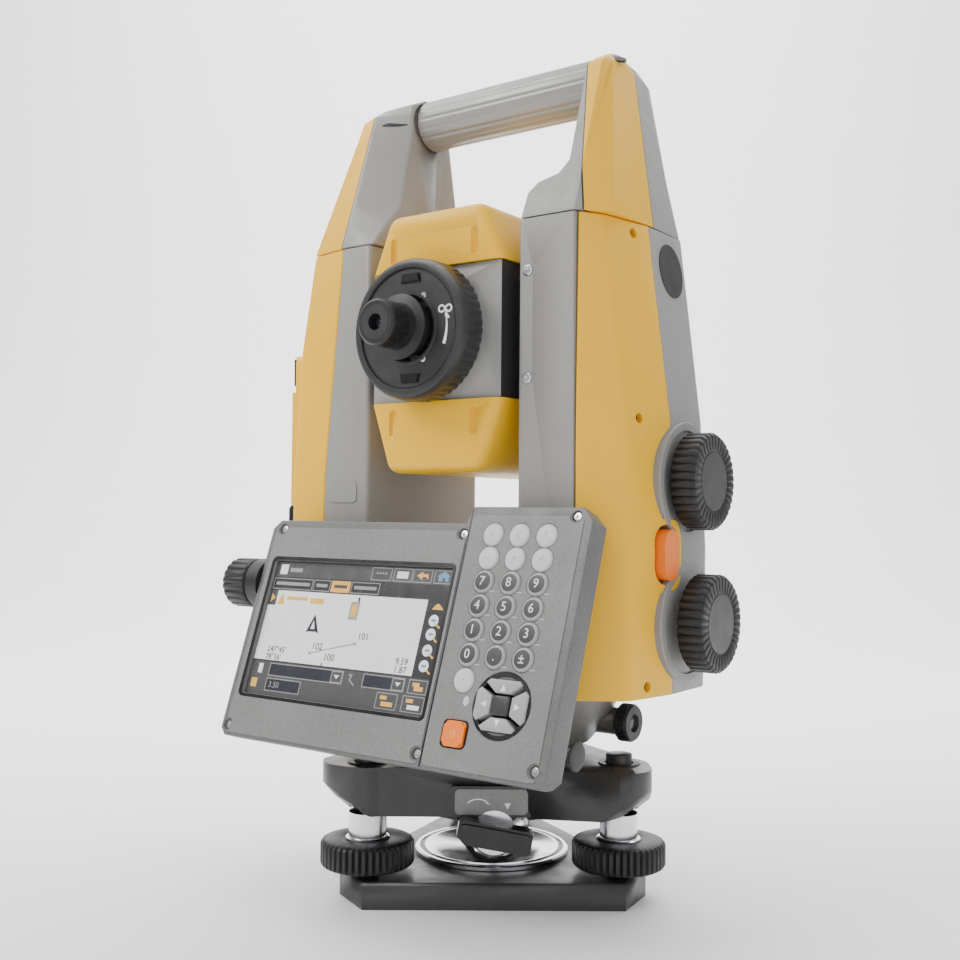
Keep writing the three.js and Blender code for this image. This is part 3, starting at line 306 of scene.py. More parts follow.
def slab(outline, low, high, axis="z", edge=0.0, bm=None, steps=2):
    """An outline pulled along an axis, with its far rim eased over. On "y" the outline is (x, z) and low
    is the front; on "x" it is (y, z). A minus sign pulls it the other way."""
    made = bmesh.new()
    bottom = [made.verts.new((x, y, low)) for x, y in outline]
    top = [made.verts.new((x, y, high)) for x, y in outline]
    count = len(outline)
    for i in range(count):
        j = (i + 1) % count
        made.faces.new([bottom[i], bottom[j], top[j], top[i]])
    made.faces.new(bottom[::-1])
    made.faces.new(top)
    if edge:
        rim = [e for e in made.edges if all(v.co.z > high - 1e-6 for v in e.verts)]
        bmesh.ops.bevel(made, geom=rim, offset=edge, segments=steps, affect="EDGES", clamp_overlap=True)
    if axis == "y":
        made.transform(Matrix(((1, 0, 0, 0), (0, 0, 1, 0), (0, 1, 0, 0), (0, 0, 0, 1))))
    if axis == "x":
        made.transform(Matrix(((0, 0, 1, 0), (1, 0, 0, 0), (0, 1, 0, 0), (0, 0, 0, 1))))
    if axis == "-y":
        made.transform(Matrix(((1, 0, 0, 0), (0, 0, -1, 0), (0, 1, 0, 0), (0, 0, 0, 1))))
    if axis == "-x":
        made.transform(Matrix(((0, 0, -1, 0), (1, 0, 0, 0), (0, 1, 0, 0), (0, 0, 0, 1))))
    bmesh.ops.recalc_face_normals(made, faces=made.faces)
    return merged(bm, made)


def block(low, high, edge=0.0, bm=None, steps=2):
    """A box with eased edges."""
    made = bmesh.new()
    bmesh.ops.create_cube(made, size=1)
    size = [b - a for a, b in zip(low, high)]
    made.transform(Matrix.Translation([(a + b) / 2 for a, b in zip(low, high)])
        @ Matrix.Diagonal((*size, 1)))
    if edge:
        bmesh.ops.bevel(made, geom=made.edges[:], offset=edge, segments=steps, affect="EDGES",
            clamp_overlap=True)
    return merged(bm, made)


def cad_copy(node, flat=3.0):
    """The CAD node's own solid in millimetres, its triangles joined into flat faces."""
    made = bmesh.new()
    made.from_mesh(NODES[node].data)
    bmesh.ops.remove_doubles(made, verts=made.verts, dist=1e-6)
    made.transform(Matrix.Scale(1 / MM, 4))
    bmesh.ops.recalc_face_normals(made, faces=made.faces)
    bmesh.ops.dissolve_limit(made, angle_limit=radians(flat), verts=made.verts, edges=made.edges)
    return made


def ease(bm, width, pick=None, least=28.0, steps=3):
    """Rounds over the sharp edges that pick(middle of the edge) accepts."""
    chosen = []
    for edge in bm.edges:
        if len(edge.link_faces) != 2:
            continue
        if degrees(edge.calc_face_angle(0)) < least:
            continue
        if pick is None or pick((edge.verts[0].co + edge.verts[1].co) / 2, edge):
            chosen.append(edge)
    if chosen:
        bmesh.ops.bevel(bm, geom=chosen, offset=width, segments=steps, profile=0.5, affect="EDGES",
            clamp_overlap=True)
    return bm


def boolean(bm, cutter, operation="DIFFERENCE"):
    """bm cut by, met with or joined to cutter."""
    closed = all(len(edge.link_faces) == 2 for source in (bm, cutter) for edge in source.edges)
    shells = []
    for source in (bm, cutter):
        bmesh.ops.recalc_face_normals(source, faces=source.faces)
        mesh = bpy.data.meshes.new("work")
        source.to_mesh(mesh)
        source.free()
        obj = bpy.data.objects.new("work", mesh)
        bpy.context.scene.collection.objects.link(obj)
        shells.append(obj)
    change = shells[0].modifiers.new("change", "BOOLEAN")
    change.operation = operation
    change.object = shells[1]
    change.solver = "MANIFOLD" if closed else "EXACT"
    bpy.context.view_layer.update()
    result = bpy.data.meshes.new_from_object(shells[0].evaluated_get(bpy.context.evaluated_depsgraph_get()))
    made = bmesh.new()
    made.from_mesh(result)
    for obj in shells:
        mesh = obj.data
        bpy.data.objects.remove(obj)
        bpy.data.meshes.remove(mesh)
    bpy.data.meshes.remove(result)
    bmesh.ops.remove_doubles(made, verts=made.verts, dist=1e-4)
    return made


def frame_at(point, normal, up=(0, 0, 1)):
    """A matrix whose Z is the normal, standing at a point."""
    z = Vector(normal).normalized()
    x = Vector(up).cross(z).normalized()
    y = z.cross(x)
    return Matrix.Translation(point) @ Matrix((x, y, z)).transposed().to_4x4()


def lettering(name, words, size, matrix, material, body, rise=0.05):
    """Numbers or marks as thin raised print, centred on the matrix's origin, facing its Z."""
    curve = bpy.data.curves.new(name, "FONT")
    curve.body = words
    curve.size = size
    curve.align_x = "CENTER"
    curve.align_y = "CENTER"
    curve.extrude = rise / 2
    curve.resolution_u = 3
    text = bpy.data.objects.new(name, curve)
    bpy.context.scene.collection.objects.link(text)
    bpy.context.view_layer.update()
    mesh = bpy.data.meshes.new_from_object(text.evaluated_get(bpy.context.evaluated_depsgraph_get()))
    bpy.data.objects.remove(text)
    bpy.data.curves.remove(curve)
    bm = bmesh.new()
    bm.from_mesh(mesh)
    bpy.data.meshes.remove(mesh)
    bmesh.ops.remove_doubles(bm, verts=bm.verts, dist=1e-4)
    return piece(name, bm, material, body, matrix)


def notches(count, share=0.3, soft=0.5):
    """A dent pattern: 0 on the ribs and 1 in the grooves between them."""
    def dent(angle):
        turn = (angle * count / (2 * pi)) % 1.0
        away = abs(turn - 0.5) * 2
        edge = 1 - share
        return min(max((away - edge) / (1 - edge) / soft, 0), 1)
    return dent


# ------------------------------------------------------------------ small fittings

def socket_screw(name, at, normal, body, r=2.4, rise=0.9, material=None):
    """A round-headed screw with a hexagon socket, half sunk where it stands."""
    bm = lathe([(0, -1.2), (r, -1.2), (r, rise * 0.45), (r * 0.82, rise * 0.9), (r * 0.5, rise),
        (0, rise)], sides=40)
    hexagon = [(r * 0.42 * cos(k * pi / 3), r * 0.42 * sin(k * pi / 3)) for k in range(6)]
    bm = boolean(bm, slab(hexagon, rise * 0.1, rise + 1))
    return piece(name, bm, material or SCREW_STEEL, body, frame_at(at, normal))


def hole(bm, at, normal, r, depth):
    """A round hole sunk into bm."""
    pin = lathe([(0, -depth), (r, -depth), (r, 3), (0, 3)], sides=32)
    pin.transform(frame_at(at, normal))
    return boolean(bm, pin)


# ------------------------------------------------------------------ columns

SCREW_WELL_R = 2.1
PANEL_FRONT_Y, PANEL_BACK_Y = -2, 30
COLLAR_R = 25.5
TRIGGER_TAB = 2.7
BETWEEN = 19  # the panel between the knobs starts this far in front of their axes


def filleted(outline, radii, steps=5):
    """An outline with each corner turned into an arc of its own radius; every call gives the same count."""
    points = []
    count = len(outline)
    for i, corner in enumerate(outline):
        p = Vector(corner)
        a, b = Vector(outline[i - 1]) - p, Vector(outline[(i + 1) % count]) - p
        reach = min(radii[i] / tan(a.angle(b) / 2), a.length * 0.45, b.length * 0.45)
        start, end = p + a.normalized() * reach, p + b.normalized() * reach
        for step in range(steps + 1):
            t = step / steps
            points.append(((1 - t) ** 2 * start + 2 * t * (1 - t) * p + t * t * end)[:])
    return points


def skin(levels, bm=None):
    """Closed loft through outlines of equal count, each (z, outline)."""
    made = bmesh.new()
    rows = [[made.verts.new((x, y, z)) for x, y in outline] for z, outline in levels]
    for low, high in zip(rows, rows[1:]):
        for i in range(len(low)):
            j = (i + 1) % len(low)
            made.faces.new([low[i], low[j], high[j], high[i]])
    made.faces.new(rows[0][::-1])
    made.faces.new(rows[-1])
    bmesh.ops.recalc_face_normals(made, faces=made.faces)
    return merged(bm, made)


def hull_levels(node):
    """The outer outline of a CAD cover at each height where its sides change, read from the frame."""
    points = [v.co / MM for v in NODES[node].data.vertices]
    low, high = box(node)
    sign = 1 if low.x > 0 else -1
    levels = []
    for z in sorted({round(p.z, 1) for p in points}):
        ring_points = {(round(p.x * sign, 2), round(p.y, 2)) for p in points if abs(p.z - z) < 0.06}
        edge_y = high.y
        strip = [x for x, y in ring_points if abs(abs(y) - edge_y) < 0.05]
        if not strip:
            continue
        widest = max(x for x, y in ring_points)
        levels.append((z, strip[0], widest))
    return sign, levels


def cover_solid(node, crease_back, crease_in, ease_front):
    """A side cover with its creases rounded, solid inside."""
    sign, levels = hull_levels(node)
    half = box(node)[1].y
    rows = []
    for z, strip, widest in levels:
        outline = [
            (strip, -half), (widest - crease_in, -half + crease_back), (widest, -3), (widest, half - 12),
            (strip, half),
        ]
        rows.append((z, filleted(outline, [1.2, ease_front, 30, 7, 1.2])))
    bm = skin(rows)
    top, bottom = levels[-1][0], levels[0][0]
    ease(bm, 1.4, lambda p, e: p.z > top - 0.1 or p.z < bottom + 0.1, least=40, steps=3)
    if sign < 0:
        bm.transform(Matrix.Scale(-1, 4, (1, 0, 0)))
        bmesh.ops.reverse_faces(bm, faces=bm.faces)
    return bm


def side_x(node, z):
    """How far out a cover reaches at a height."""
    levels = hull_levels(node)[1]
    for (z0, _, x0), (z1, _, x1) in zip(levels, levels[1:]):
        if z <= z1:
            return x0 + (x1 - x0) * (z - z0) / (z1 - z0)
    return levels[-1][2]


def panel_region(shrink):
    """The grey panel's area seen from the side, as a bar along X that cuts the cover. Its front edge runs
    down the side, round both knobs and behind the trigger."""
    upper, lower = middle("vertical_knob"), middle("horizontal_knob")
    low, high = box("trigger_key")
    half = (high.z - low.z) / 2 + TRIGGER_TAB + shrink
    reach = high.y + TRIGGER_TAB + shrink
    corner = 7.5
    front = []
    for step in range(301):
        z = 60 + 0.8 * step
        y = PANEL_FRONT_Y + shrink
        for knob in (upper, lower):
            inside = (COLLAR_R - shrink) ** 2 - (z - knob.z) ** 2
            if inside > 0:
                y = min(y, knob.y - inside ** 0.5)
        if lower.z < z < upper.z:
            y = min(y, upper.y - BETWEEN + shrink)
        away = abs(z - (low.z + high.z) / 2)
        if away < half:
            bend = max(away - (half - corner), 0)
            y = max(y, reach - corner + (corner ** 2 - bend ** 2) ** 0.5)
        front.append((y, z))
    back = PANEL_BACK_Y - shrink
    return slab(front + [(back, 300), (back, 60)], 60, 130, axis="x")


def build_right_side():
    """The yellow cover, the grey panel let into it, their screws, badge and trigger."""
    bm = cover_solid("right_side_cover", 12, 5, 9)
    grey = boolean(bm.copy(), panel_region(0.25), "INTERSECT")
    bm = boolean(bm, panel_region(0.0))
    key_low, key_high = box("trigger_key")
    gap = 0.5
    opening = rounded(key_low.y - gap, key_high.y + gap, key_low.z - gap, key_high.z + gap,
        (key_high.y - key_low.y) / 2)
    bm = boolean(bm, slab(opening, 80, 120, axis="x"))
    creased = Vector((0.98, -0.19, 0))
    for y, z in ((-12.4, 275.0), (-21.6, 198.7), (-18.0, 92.9)):
        x = side_x("right_side_cover", z) - (-3 - y) * 5 / 26
        bm = hole(bm, (x, y, z), creased, SCREW_WELL_R, 2.6)
        socket_screw(f"cover_screw_{round(z)}", (x - 2.6, y + 0.5, z), creased, "alidade", 1.7, 0.5, BLACK)
    piece("right_cover_shell", bm, YELLOW, "alidade", slot="yellow_plastic",
        replaces=("right_side_cover",), smooth=40)
    for name in ("vertical_knob", "horizontal_knob"):
        knob = middle(name)
        back = box(name)[1].x - 11
        wall = side_x("right_side_cover", knob.z)
        grey = boolean(grey, lathe([(0, back - 2.4), (20.8, back - 2.4), (20.8, 130), (0, 130)], "x", (0,
            knob.y, knob.z), 72))
        collar = ring_band(21.2, COLLAR_R - 0.8, wall - 3, wall + 0.5, "x", (0, knob.y, knob.z), 0.45)
        piece(name + "_collar", collar, PANEL_GREY, "alidade", slot="grey_plastic")
    piece("right_panel_shell", grey, PANEL_GREY, "alidade", slot="grey_plastic",
        replaces=("right_side_panel",), smooth=40)
    badge = slab([(10.2 * cos(2 * pi * k / 64), 11.6 * sin(2 * pi * k / 64)) for k in range(64)], 0, 0.5,
        edge=0.2)
    top_lean = Vector((1, 0, (side_x("right_side_cover", 200) - side_x("right_side_cover", 279)) / 79))
    z = 263.5
    at = (side_x("right_side_cover", z) - 0.15, 14.5, z)
    piece("blank_badge", badge, BLACK, "alidade", frame_at(at, top_lean))
    low, high = box("trigger_key")
    r = (high.y - low.y) / 2 - 1.5
    cap = slab(rounded(low.y + 1.5, high.y - 1.5, low.z + 1.5, high.z - 1.5, r, 10), low.x, high.x,
        axis="x", edge=1.3, steps=4)
    stand_in("trigger_key", cap, ORANGE, smooth=50)


def fine_knob(node):
    """A hand knob with ribs along its side that turn in over the edge of its face."""
    low, high = box(node)
    r, face = (high.z - low.z) / 2, high.x
    back = face - 11
    profile = [
        (0, back), (r - 1.2, back, 0.7, 0), (r, back + 1, 0.7, 0), (r, face - 1.6, 0.7, 0),
        (r - 1.3, face - 0.2, 0.9, 0),
        (r - 6.8, face, 0, 0.8), (r - 7.4, face - 0.5), (r - 8, face - 0.7), (0, face - 0.6),
    ]
    bm = lathe(profile, "x", (0, middle(node).y, (low.z + high.z) / 2), 36 * 8, dent=notches(36, 0.34, 0.6))
    stand_in(node, bm, RUBBER, smooth=45)
    at = (0, middle(node).y, (low.z + high.z) / 2)
    hub = lathe([(0, face - 0.8), (r - 7.8, face - 0.8), (r - 8, face - 0.35), (0, face - 0.3)], "x", at,
        72)
    piece(node + "_hub", hub, HUB, NODE_BODY[node], slot="black_rubber")


def standard(node):
    """A column's grey inner frame."""
    low, high = box(node)
    inner = min(abs(low.x), abs(high.x))
    bm = cad_copy(node)
    ease(bm, 2.0, lambda p, e: abs(abs(p.x) - inner) < 0.2 and abs(abs(p.y) - high.y) < 0.2)
    ease(bm, 0.8, lambda p, e: abs(abs(p.y) - high.y) < 0.2 and abs(abs(p.x) - inner) > 5)
    sign = 1 if low.x > 0 else -1
    if sign > 0:
        for z in (258.7, 215.0):
            bm = hole(bm, (44.6, -high.y, z), (0, -1, 0), 2.5, 0.8)
            socket_screw(f"frame_screw_{round(z)}", (44.6, -high.y + 0.1, z), (0, -1, 0), "alidade", 2.3,
                0.9)
    stand_in(node, bm, GREY, smooth=35)


def build_left_side():
    """The left cover with the battery's bay, door, latch and hinges."""
    node = "left_side_cover"
    bm = cover_solid(node, 5, 1, 3.5)
    low, high = box("battery_door")
    bay = rounded(low.y - 0.3, high.y + 0.3, low.z - 0.3, high.z + 1.3, 4)
    bm = boolean(bm, slab(bay, -130, 4 - abs(high.x), axis="x"))
    for y, z in ((-20, 270.0), (-24, 147.0), (-20, 95.0), (20, 270.0), (20, 95.0)):
        x = -side_x(node, z)
        bm = hole(bm, (x, y, z), (-1, 0, 0), SCREW_WELL_R, 2.6)
        socket_screw(f"left_screw_{round(z)}_{y}", (x + 2.6, y, z), (-1, 0, 0), "alidade", 1.7, 0.5, BLACK)
    piece("left_cover_shell", bm, YELLOW, "alidade", slot="yellow_plastic", replaces=(node,), smooth=40)
    door = cad_copy("battery_door")
    outer = low.x
    ease(door, 1.6, lambda p, e: p.x < outer + 0.2, least=30)
    stand_in("battery_door", door, YELLOW, smooth=40)
    latch = cad_copy("battery_latch")
    ease(latch, 0.5)
    foot = box("battery_latch")[0]
    for k in range(5):
        z = foot.z + 2.5 + 2 * k
        block((foot.x - 0.35, -9, z), (foot.x + 0.5, 9, z + 0.9), 0.2, latch)
    stand_in("battery_latch", latch, GLOSS)
    for y in (low.y - 1.2, high.y - 5.4):
        hinge = block((low.x - 0.6, y, low.z - 3.5), (low.x + 6, y + 6.6, low.z + 5), 0.8)
        piece(f"door_hinge_{'front' if y < 0 else 'back'}", hinge, GLOSS, "alidade")
    pack = cad_copy("battery_pack")
    ease(pack, 1.5)
    stand_in("battery_pack", pack, BLACK)


def build_columns():
    """Both columns, their knobs and the cone below them."""
    standard("right_standard")
    standard("left_standard")
    build_right_side()
    build_left_side()
    fine_knob("vertical_knob")
    fine_knob("horizontal_knob")
    front = box("left_standard")[0].y
    plate = slab(rounded(-63.5, -46.2, 165, 174.3, 1.6), 0, 0.5, axis="-y", edge=0.25)
    piece("blank_plate", plate, GREY, "alidade", Matrix.Translation((0, front, 0)))
    hub = cad_copy("alidade_base")
    stand_in("alidade_base", hub, DARK)


# ------------------------------------------------------------------ handle

def banded(name, node, bm, bounds, materials):
    """Splits bm along planes and gives each face the material that bounds() picks from its middle."""
    planes, choose = bounds
    for point, normal in planes:
        geometry = bm.verts[:] + bm.edges[:] + bm.faces[:]
        bmesh.ops.bisect_plane(bm, geom=geometry, plane_co=point, plane_no=normal, dist=1e-4)
    for face in bm.faces:
        face.material_index = choose(face.calc_center_median())
    obj = stand_in(node, bm, materials[0], smooth=35, name=name)
    for material in materials[1:]:
        obj.data.materials.append(material)
    return obj


def lean_plane(point, lean):
    """A plane through a point whose X moves by lean for each millimetre of height."""
    return Vector(point), Vector((1, 0, -lean)).normalized()


def build_handle():
    """The two-coloured posts and the ribbed bar between them."""
    crown = box("handle_right_post")[1].z
    for node, boundary, lean, sign in (
        ("handle_right_post", 68.9, -0.137, 1),
        ("handle_left_post", -58.0, 0.022, -1),
    ):
        low, high = box(node)
        bm = cad_copy(node, 5)
        seam = low.z
        ease(bm, 2.2, lambda p, e: p.z > seam + 1 and abs((e.verts[0].co - e.verts[1].co).z) > 3,
            least=24, steps=4)
        ease(bm, 1.6, lambda p, e: p.z > crown - 1, least=24, steps=3)
        ease(bm, 1.2, lambda p, e: p.z < seam + 0.1 and abs(e.calc_face_angle(0)) > 0.6, least=50, steps=3)
        start = (boundary, 0, 281)
        groove = 0.5 * sign
        planes = [
            lean_plane(start, lean),
            lean_plane((boundary - groove, 0, 281), lean),
            (Vector((0, 3, 281)), Vector((0, 1, 0.0))),
            (Vector((0, 3.5, 281)), Vector((0, 1, 0.0))),
        ]

        def choose(p, boundary=boundary, lean=lean, groove=groove, sign=sign):
            edge = boundary + lean * (p.z - 281)
            outside = (p.x - edge) * sign
            if sign > 0 and p.y > 3.5:
                return 1
            if sign > 0 and p.y > 3 and outside > 0:
                return 2
            if outside > 0:
                return 0
            if outside > -abs(groove):
                return 2
            return 1

        banded(node + "_shell", node, bm, (planes, choose), (YELLOW, GREY, BLACK))
    low, high = box("handle_bar")
    r = (high.z - low.z) / 2
    axis = (0, 0, (high.z + low.z) / 2)
    left_face, right_face = box("handle_left_post")[1].x, box("handle_right_post")[0].x + 18.5
    tube = lathe([(0, low.x), (r - 0.3, low.x), (r - 0.3, left_face + 0.6), (r, left_face + 1.4, 0.55, 0),
                  (r, right_face - 1.4, 0.55, 0), (r - 0.3, right_face - 0.6), (r - 0.3, high.x),
                  (0, high.x)],
                 "x", axis, 16 * 12, dent=notches(16, 0.4, 0.9))
    stand_in("handle_bar", tube, ALUMINIUM, smooth=50)
    collar = ring_band(r - 1, r + 0.0, left_face + 0.15, left_face + 0.8, "x", axis, 0.2)
    piece("bar_collar", collar, BLACK, "alidade")
    slot = slab(rounded(-7.2, 7.2, -1.7, 1.7, 1.7), -0.6, 0.2, edge=0.1)
    lean = Vector((0.42, -1, 0.5))
    piece("post_slot", slot, BLACK, "alidade", frame_at((-46.2, -16.8, 342.4), lean))
    cap = slab(rounded(-4.2, 4.2, -1.5, 1.5, 1.5), -0.8, 0.15, edge=0.1)
    piece("post_slot_right", cap, BLACK, "alidade", frame_at((66.8, -8.5, 350.2), (0.75, -0.6, 0.8)))


# ------------------------------------------------------------------ telescope

def build_telescope():
    """Covers, body and focusing ring, with the ring's print."""
    for node, sign in (("telescope_top_cover", 1), ("telescope_bottom_cover", -1)):
        low, high = box(node)
        bm = cad_copy(node, 4)
        near = TRUNNION_Z + sign * 28
        ease(bm, 4.5, lambda p, e: abs(p.z - near) > 3, least=30, steps=5)
        ease(bm, 0.5, lambda p, e: abs(p.z - near) < 0.6, least=50)
        front = low.y
        for x in (-21.5, 21.5):
            z0 = TRUNNION_Z + sign * 34
            spin = lathe([(0, -3), (2.0, -1.6), (2.0, 8), (0, 10)], "z", sides=24)
            spin.transform(Matrix.Translation((x, front - 0.1, z0)) @ Matrix.Diagonal((1, 1, sign, 1))
                @ Matrix.Rotation(radians(5), 4, "X"))
            bmesh.ops.recalc_face_normals(spin, faces=spin.faces)
            bm = boolean(bm, spin)
        stand_in(node, bm, YELLOW, smooth=40)
    body = cad_copy("telescope_body", 4)
    low, high = box("telescope_body")
    ease(body, 1.2, lambda p, e: p.y < -20 and abs(abs(p.x) - high.x) < 6, least=60)
    obj = stand_in("telescope_body", body, GREY, smooth=40)
    obj.data.materials.append(CAST)
    for polygon in obj.data.polygons:
        if abs(polygon.normal.y) < 0.6 or polygon.center.y > 0:
            polygon.material_index = 1
    ring = box("focusing_ring")
    eye = box("eyepiece_ring")
    at = (0, 0, TRUNNION_Z)
    r = (ring[1].z - ring[0].z) / 2
    f, b = ring[0].y, ring[1].y
    profile = [
        (0, f + 1.2), (r - 4.6, f + 1.2), (r - 4.3, f + 0.2), (r - 2.8, f), (r - 1.2, f + 0.5),
        (r - 0.3, f + 2.2, 0, 0),
        (r, f + 5.2), (r, f + 6, 0.7, 0), (r, b - 0.8, 0.7, 0), (r - 0.8, b), (0, b),
    ]
    bm = lathe(profile, "y", at, 48 * 6, dent=notches(48, 0.45, 0.7))
    hollow = lathe([(0, f - 5), (eye_hole(eye) + 0.4, f - 5), (eye_hole(eye) + 0.4, b + 5), (0, b + 5)],
        "y", at)
    bm = boolean(bm, hollow)
    stand_in("focusing_ring", bm, CAST, smooth=40)
    flat = ring_band(13.8, r - 5.0, -1.2, 0.3, "z", (0, 0, 0), 0.15)
    face_at = Matrix.Translation((0, f + 1.2, TRUNNION_Z)) @ Matrix.Rotation(pi / 2, 4, "X")
    piece("focusing_face", flat, HUB, "focusing", face_at, slot="black_plastic")
    rise = face_at @ Matrix.Translation((0, 0, 0.3))
    lip = ring_band(13.8, 15.2, -0.2, 0.6, "z", (0, 0, 0), 0.3)
    piece("focusing_lip", lip, CAST, "focusing", rise)
    for k, sign in enumerate((1, -1)):
        tab = slab([(-5.2, -1.9), (5.2, -1.9), (4.4, 1.9), (-4.4, 1.9)], -0.6, 0.9, edge=0.5)
        piece(f"focusing_tab_{k + 1}", tab, GLOSS, "focusing",
            rise @ Matrix.Rotation(0 if sign > 0 else pi, 4, "Z")
            @ Matrix.Translation((1.5 * sign, 20.6, 0)))
        socket_at = rise @ Vector((8.2, 12.9 * sign, 0.1))
        socket_screw(f"focusing_screw_{k + 1}", socket_at, (0, -1, 0), "focusing", 1.3, 0.4, STEEL_Y)
    lettering("focus_far_mark", "∞", 8.5, rise @ Matrix.Translation((19.3, 6.5, 0.02)), WHITE, "focusing")
    arc = bmesh.new()
    inner, outer = [], []
    for k in range(15):
        a = radians(-22 + 30 * k / 14)
        w = 0.25 + 0.5 * (1 - k / 14)
        inner.append(arc.verts.new(((20.2 - w) * cos(a), (20.2 - w) * sin(a), 0.05)))
        outer.append(arc.verts.new(((20.2 + w) * cos(a), (20.2 + w) * sin(a), 0.05)))
    for k in range(14):
        arc.faces.new([inner[k], outer[k], outer[k + 1], inner[k + 1]])
    a = radians(8)
    tip = [Vector(((20.2 + dr) * cos(a + da), (20.2 + dr) * sin(a + da), 0.05)) for dr,
        da in ((-0.2, -0.02), (1.7, -0.02), (0.1, 0.16), (-0.6, 0.05))]
    arc.faces.new([arc.verts.new(p) for p in tip])
    thick = bmesh.ops.extrude_face_region(arc, geom=arc.faces[:])
    for v in thick["geom"]:
        if isinstance(v, bmesh.types.BMVert):
            v.co.z += 0.06
    piece("focus_arrow", arc, WHITE, "focusing", rise)
    build_eyepiece(eye, at)
    build_optics(at)


def eye_hole(eye):
    """The eyepiece's largest radius."""
    return (eye[1].z - eye[0].z) / 2


def build_eyepiece(eye, at):
    """The eyepiece, with a knurled grip and a lens down its hole."""
    r, f, b = eye_hole(eye), eye[0].y, eye[1].y
    slim = 9.4
    outer = lathe([(0, f), (slim - 0.9, f), (slim, f + 0.9), (slim, f + 2.4), (slim, f + 2.6, 0.4, 0),
        (slim, f + 10.5, 0.4, 0),
                   (slim, f + 10.8), (slim + 0.3, f + 13.5), (r, f + 14.6), (r, b), (0, b)], "y", at,
                   60 * 5,
                  dent=notches(60, 0.4, 0.8))
    cup = lathe([(0, f - 1), (3.3, f - 1), (3.3, f + 0.5), (2.6, f + 4.5), (0, f + 4.5)], "y", at, 48)
    stand_in("eyepiece_ring", boolean(outer, cup), RUBBER, smooth=40)
    face = ring_band(3.4, slim - 2.6, 0, 0.25, "y", (0, f - 0.1, TRUNNION_Z), 0.1)
    piece("eyepiece_face", face, HUB, "eyepiece")
    glass = lathe([(0, f + 2.6), (1.4, f + 2.9), (2.6, f + 3.6), (2.6, f + 4.6), (0, f + 4.6)], "y", at, 48)
    piece("eyepiece_lens", glass, LENS, "eyepiece")


def build_optics(at):
    """The objective, the sight on top and the circle on the trunnion."""
    low, high = box("objective_lens")
    r = (high.z - low.z) / 2
    y = high.y
    glass = lathe([(0, low.y), (r, low.y), (r, y - 2.2), (r * 0.7, y - 0.9), (r * 0.35, y - 0.2), (0, y)],
        "y", at, 96)
    stand_in("objective_lens", glass, LENS, smooth=60)
    top = box("telescope_top_cover")[1].z
    dome = lathe([(0, 0), (4.6, 0), (4.6, 1.2), (4.2, 1.8), (2.6, 2.1), (0, 2.1)], "z",
        (-2, 4, top - 2.15), 48)
    piece("sight_dome", dome, GLOSS, "telescope")
    circle = cad_copy("vertical_circle")
    stand_in("vertical_circle", circle, STEEL)


# ------------------------------------------------------------------ display

def local(a, b, out=0.0):
    """A place on the display: a to the right, b up its face, out towards the operator."""
    return DISPLAY_FRONT @ Vector((a, -out, b))


FACE_TURN = DISPLAY_FRONT @ Matrix.Rotation(pi / 2, 4, "X")  # x right, y up the face, z out


def face_piece(name, bm, material, out=0.0, body="alidade", **more):
    """A piece laid on the display's face."""
    return piece(name, bm, material, body, FACE_TURN @ Matrix.Translation((0, 0, out)), **more)


SCREEN_X, SCREEN_Y = (-75.5, 24.3), (18.8, 78.4)
SCREEN_TOP, KEYPAD_TOP = 97, 104
SPLIT_X = 28
SCREEN_OUT = -1.9  # the picture lies this far behind the housing's face
PRINT = 0.03  # thickness of a patch of the screen's picture
HOUSING_SCREWS = ((-75.7, 93.0), (25.2, 92.5), (76.6, 100.4), (-78.5, 4.6), (25.4, 5.2), (78.6, 5.6))


def on_screen(x, y):
    """A place on the display, from shares of the picture counted from its lower left corner."""
    (left, right), (low, high) = SCREEN_X, SCREEN_Y
    margin = 0.3
    return left + margin + (right - left - 2 * margin) * x, low + margin + (high - low - 2 * margin) * y


def screen_patch(name, x0, x1, y0, y1, material, lift, frame_line=False):
    """A rectangle of the screen's picture, or only its outline."""
    (x0, y0), (x1, y1) = on_screen(x0, y0), on_screen(x1, y1)
    bm = slab([(x0, y0), (x1, y0), (x1, y1), (x0, y1)], 0, PRINT)
    if frame_line:
        t = 0.35
        bm = boolean(bm, slab([(x0 + t, y0 + t), (x1 - t, y0 + t), (x1 - t, y1 - t), (x0 + t, y1 - t)],
            -1, 1))
    face_piece(name, bm, material, SCREEN_OUT + lift)


def screen_shape(name, points, material, lift):
    """A free shape of the screen's picture."""
    face_piece(name, slab([on_screen(x, y) for x, y in points], 0, PRINT), material, SCREEN_OUT + lift)


def screen_words(name, words, x, y, size, material, lift=0.12):
    """Figures on the screen's picture."""
    at = FACE_TURN @ Matrix.Translation((*on_screen(x, y), SCREEN_OUT + lift))
    lettering(name, words, size, at, material, "alidade", 0.02)


def disc(x, y, r, count=28, squash=1.0):
    """A circle's outline."""
    return [(x + r * cos(2 * pi * k / count), y + r * squash * sin(2 * pi * k / count))
        for k in range(count)]


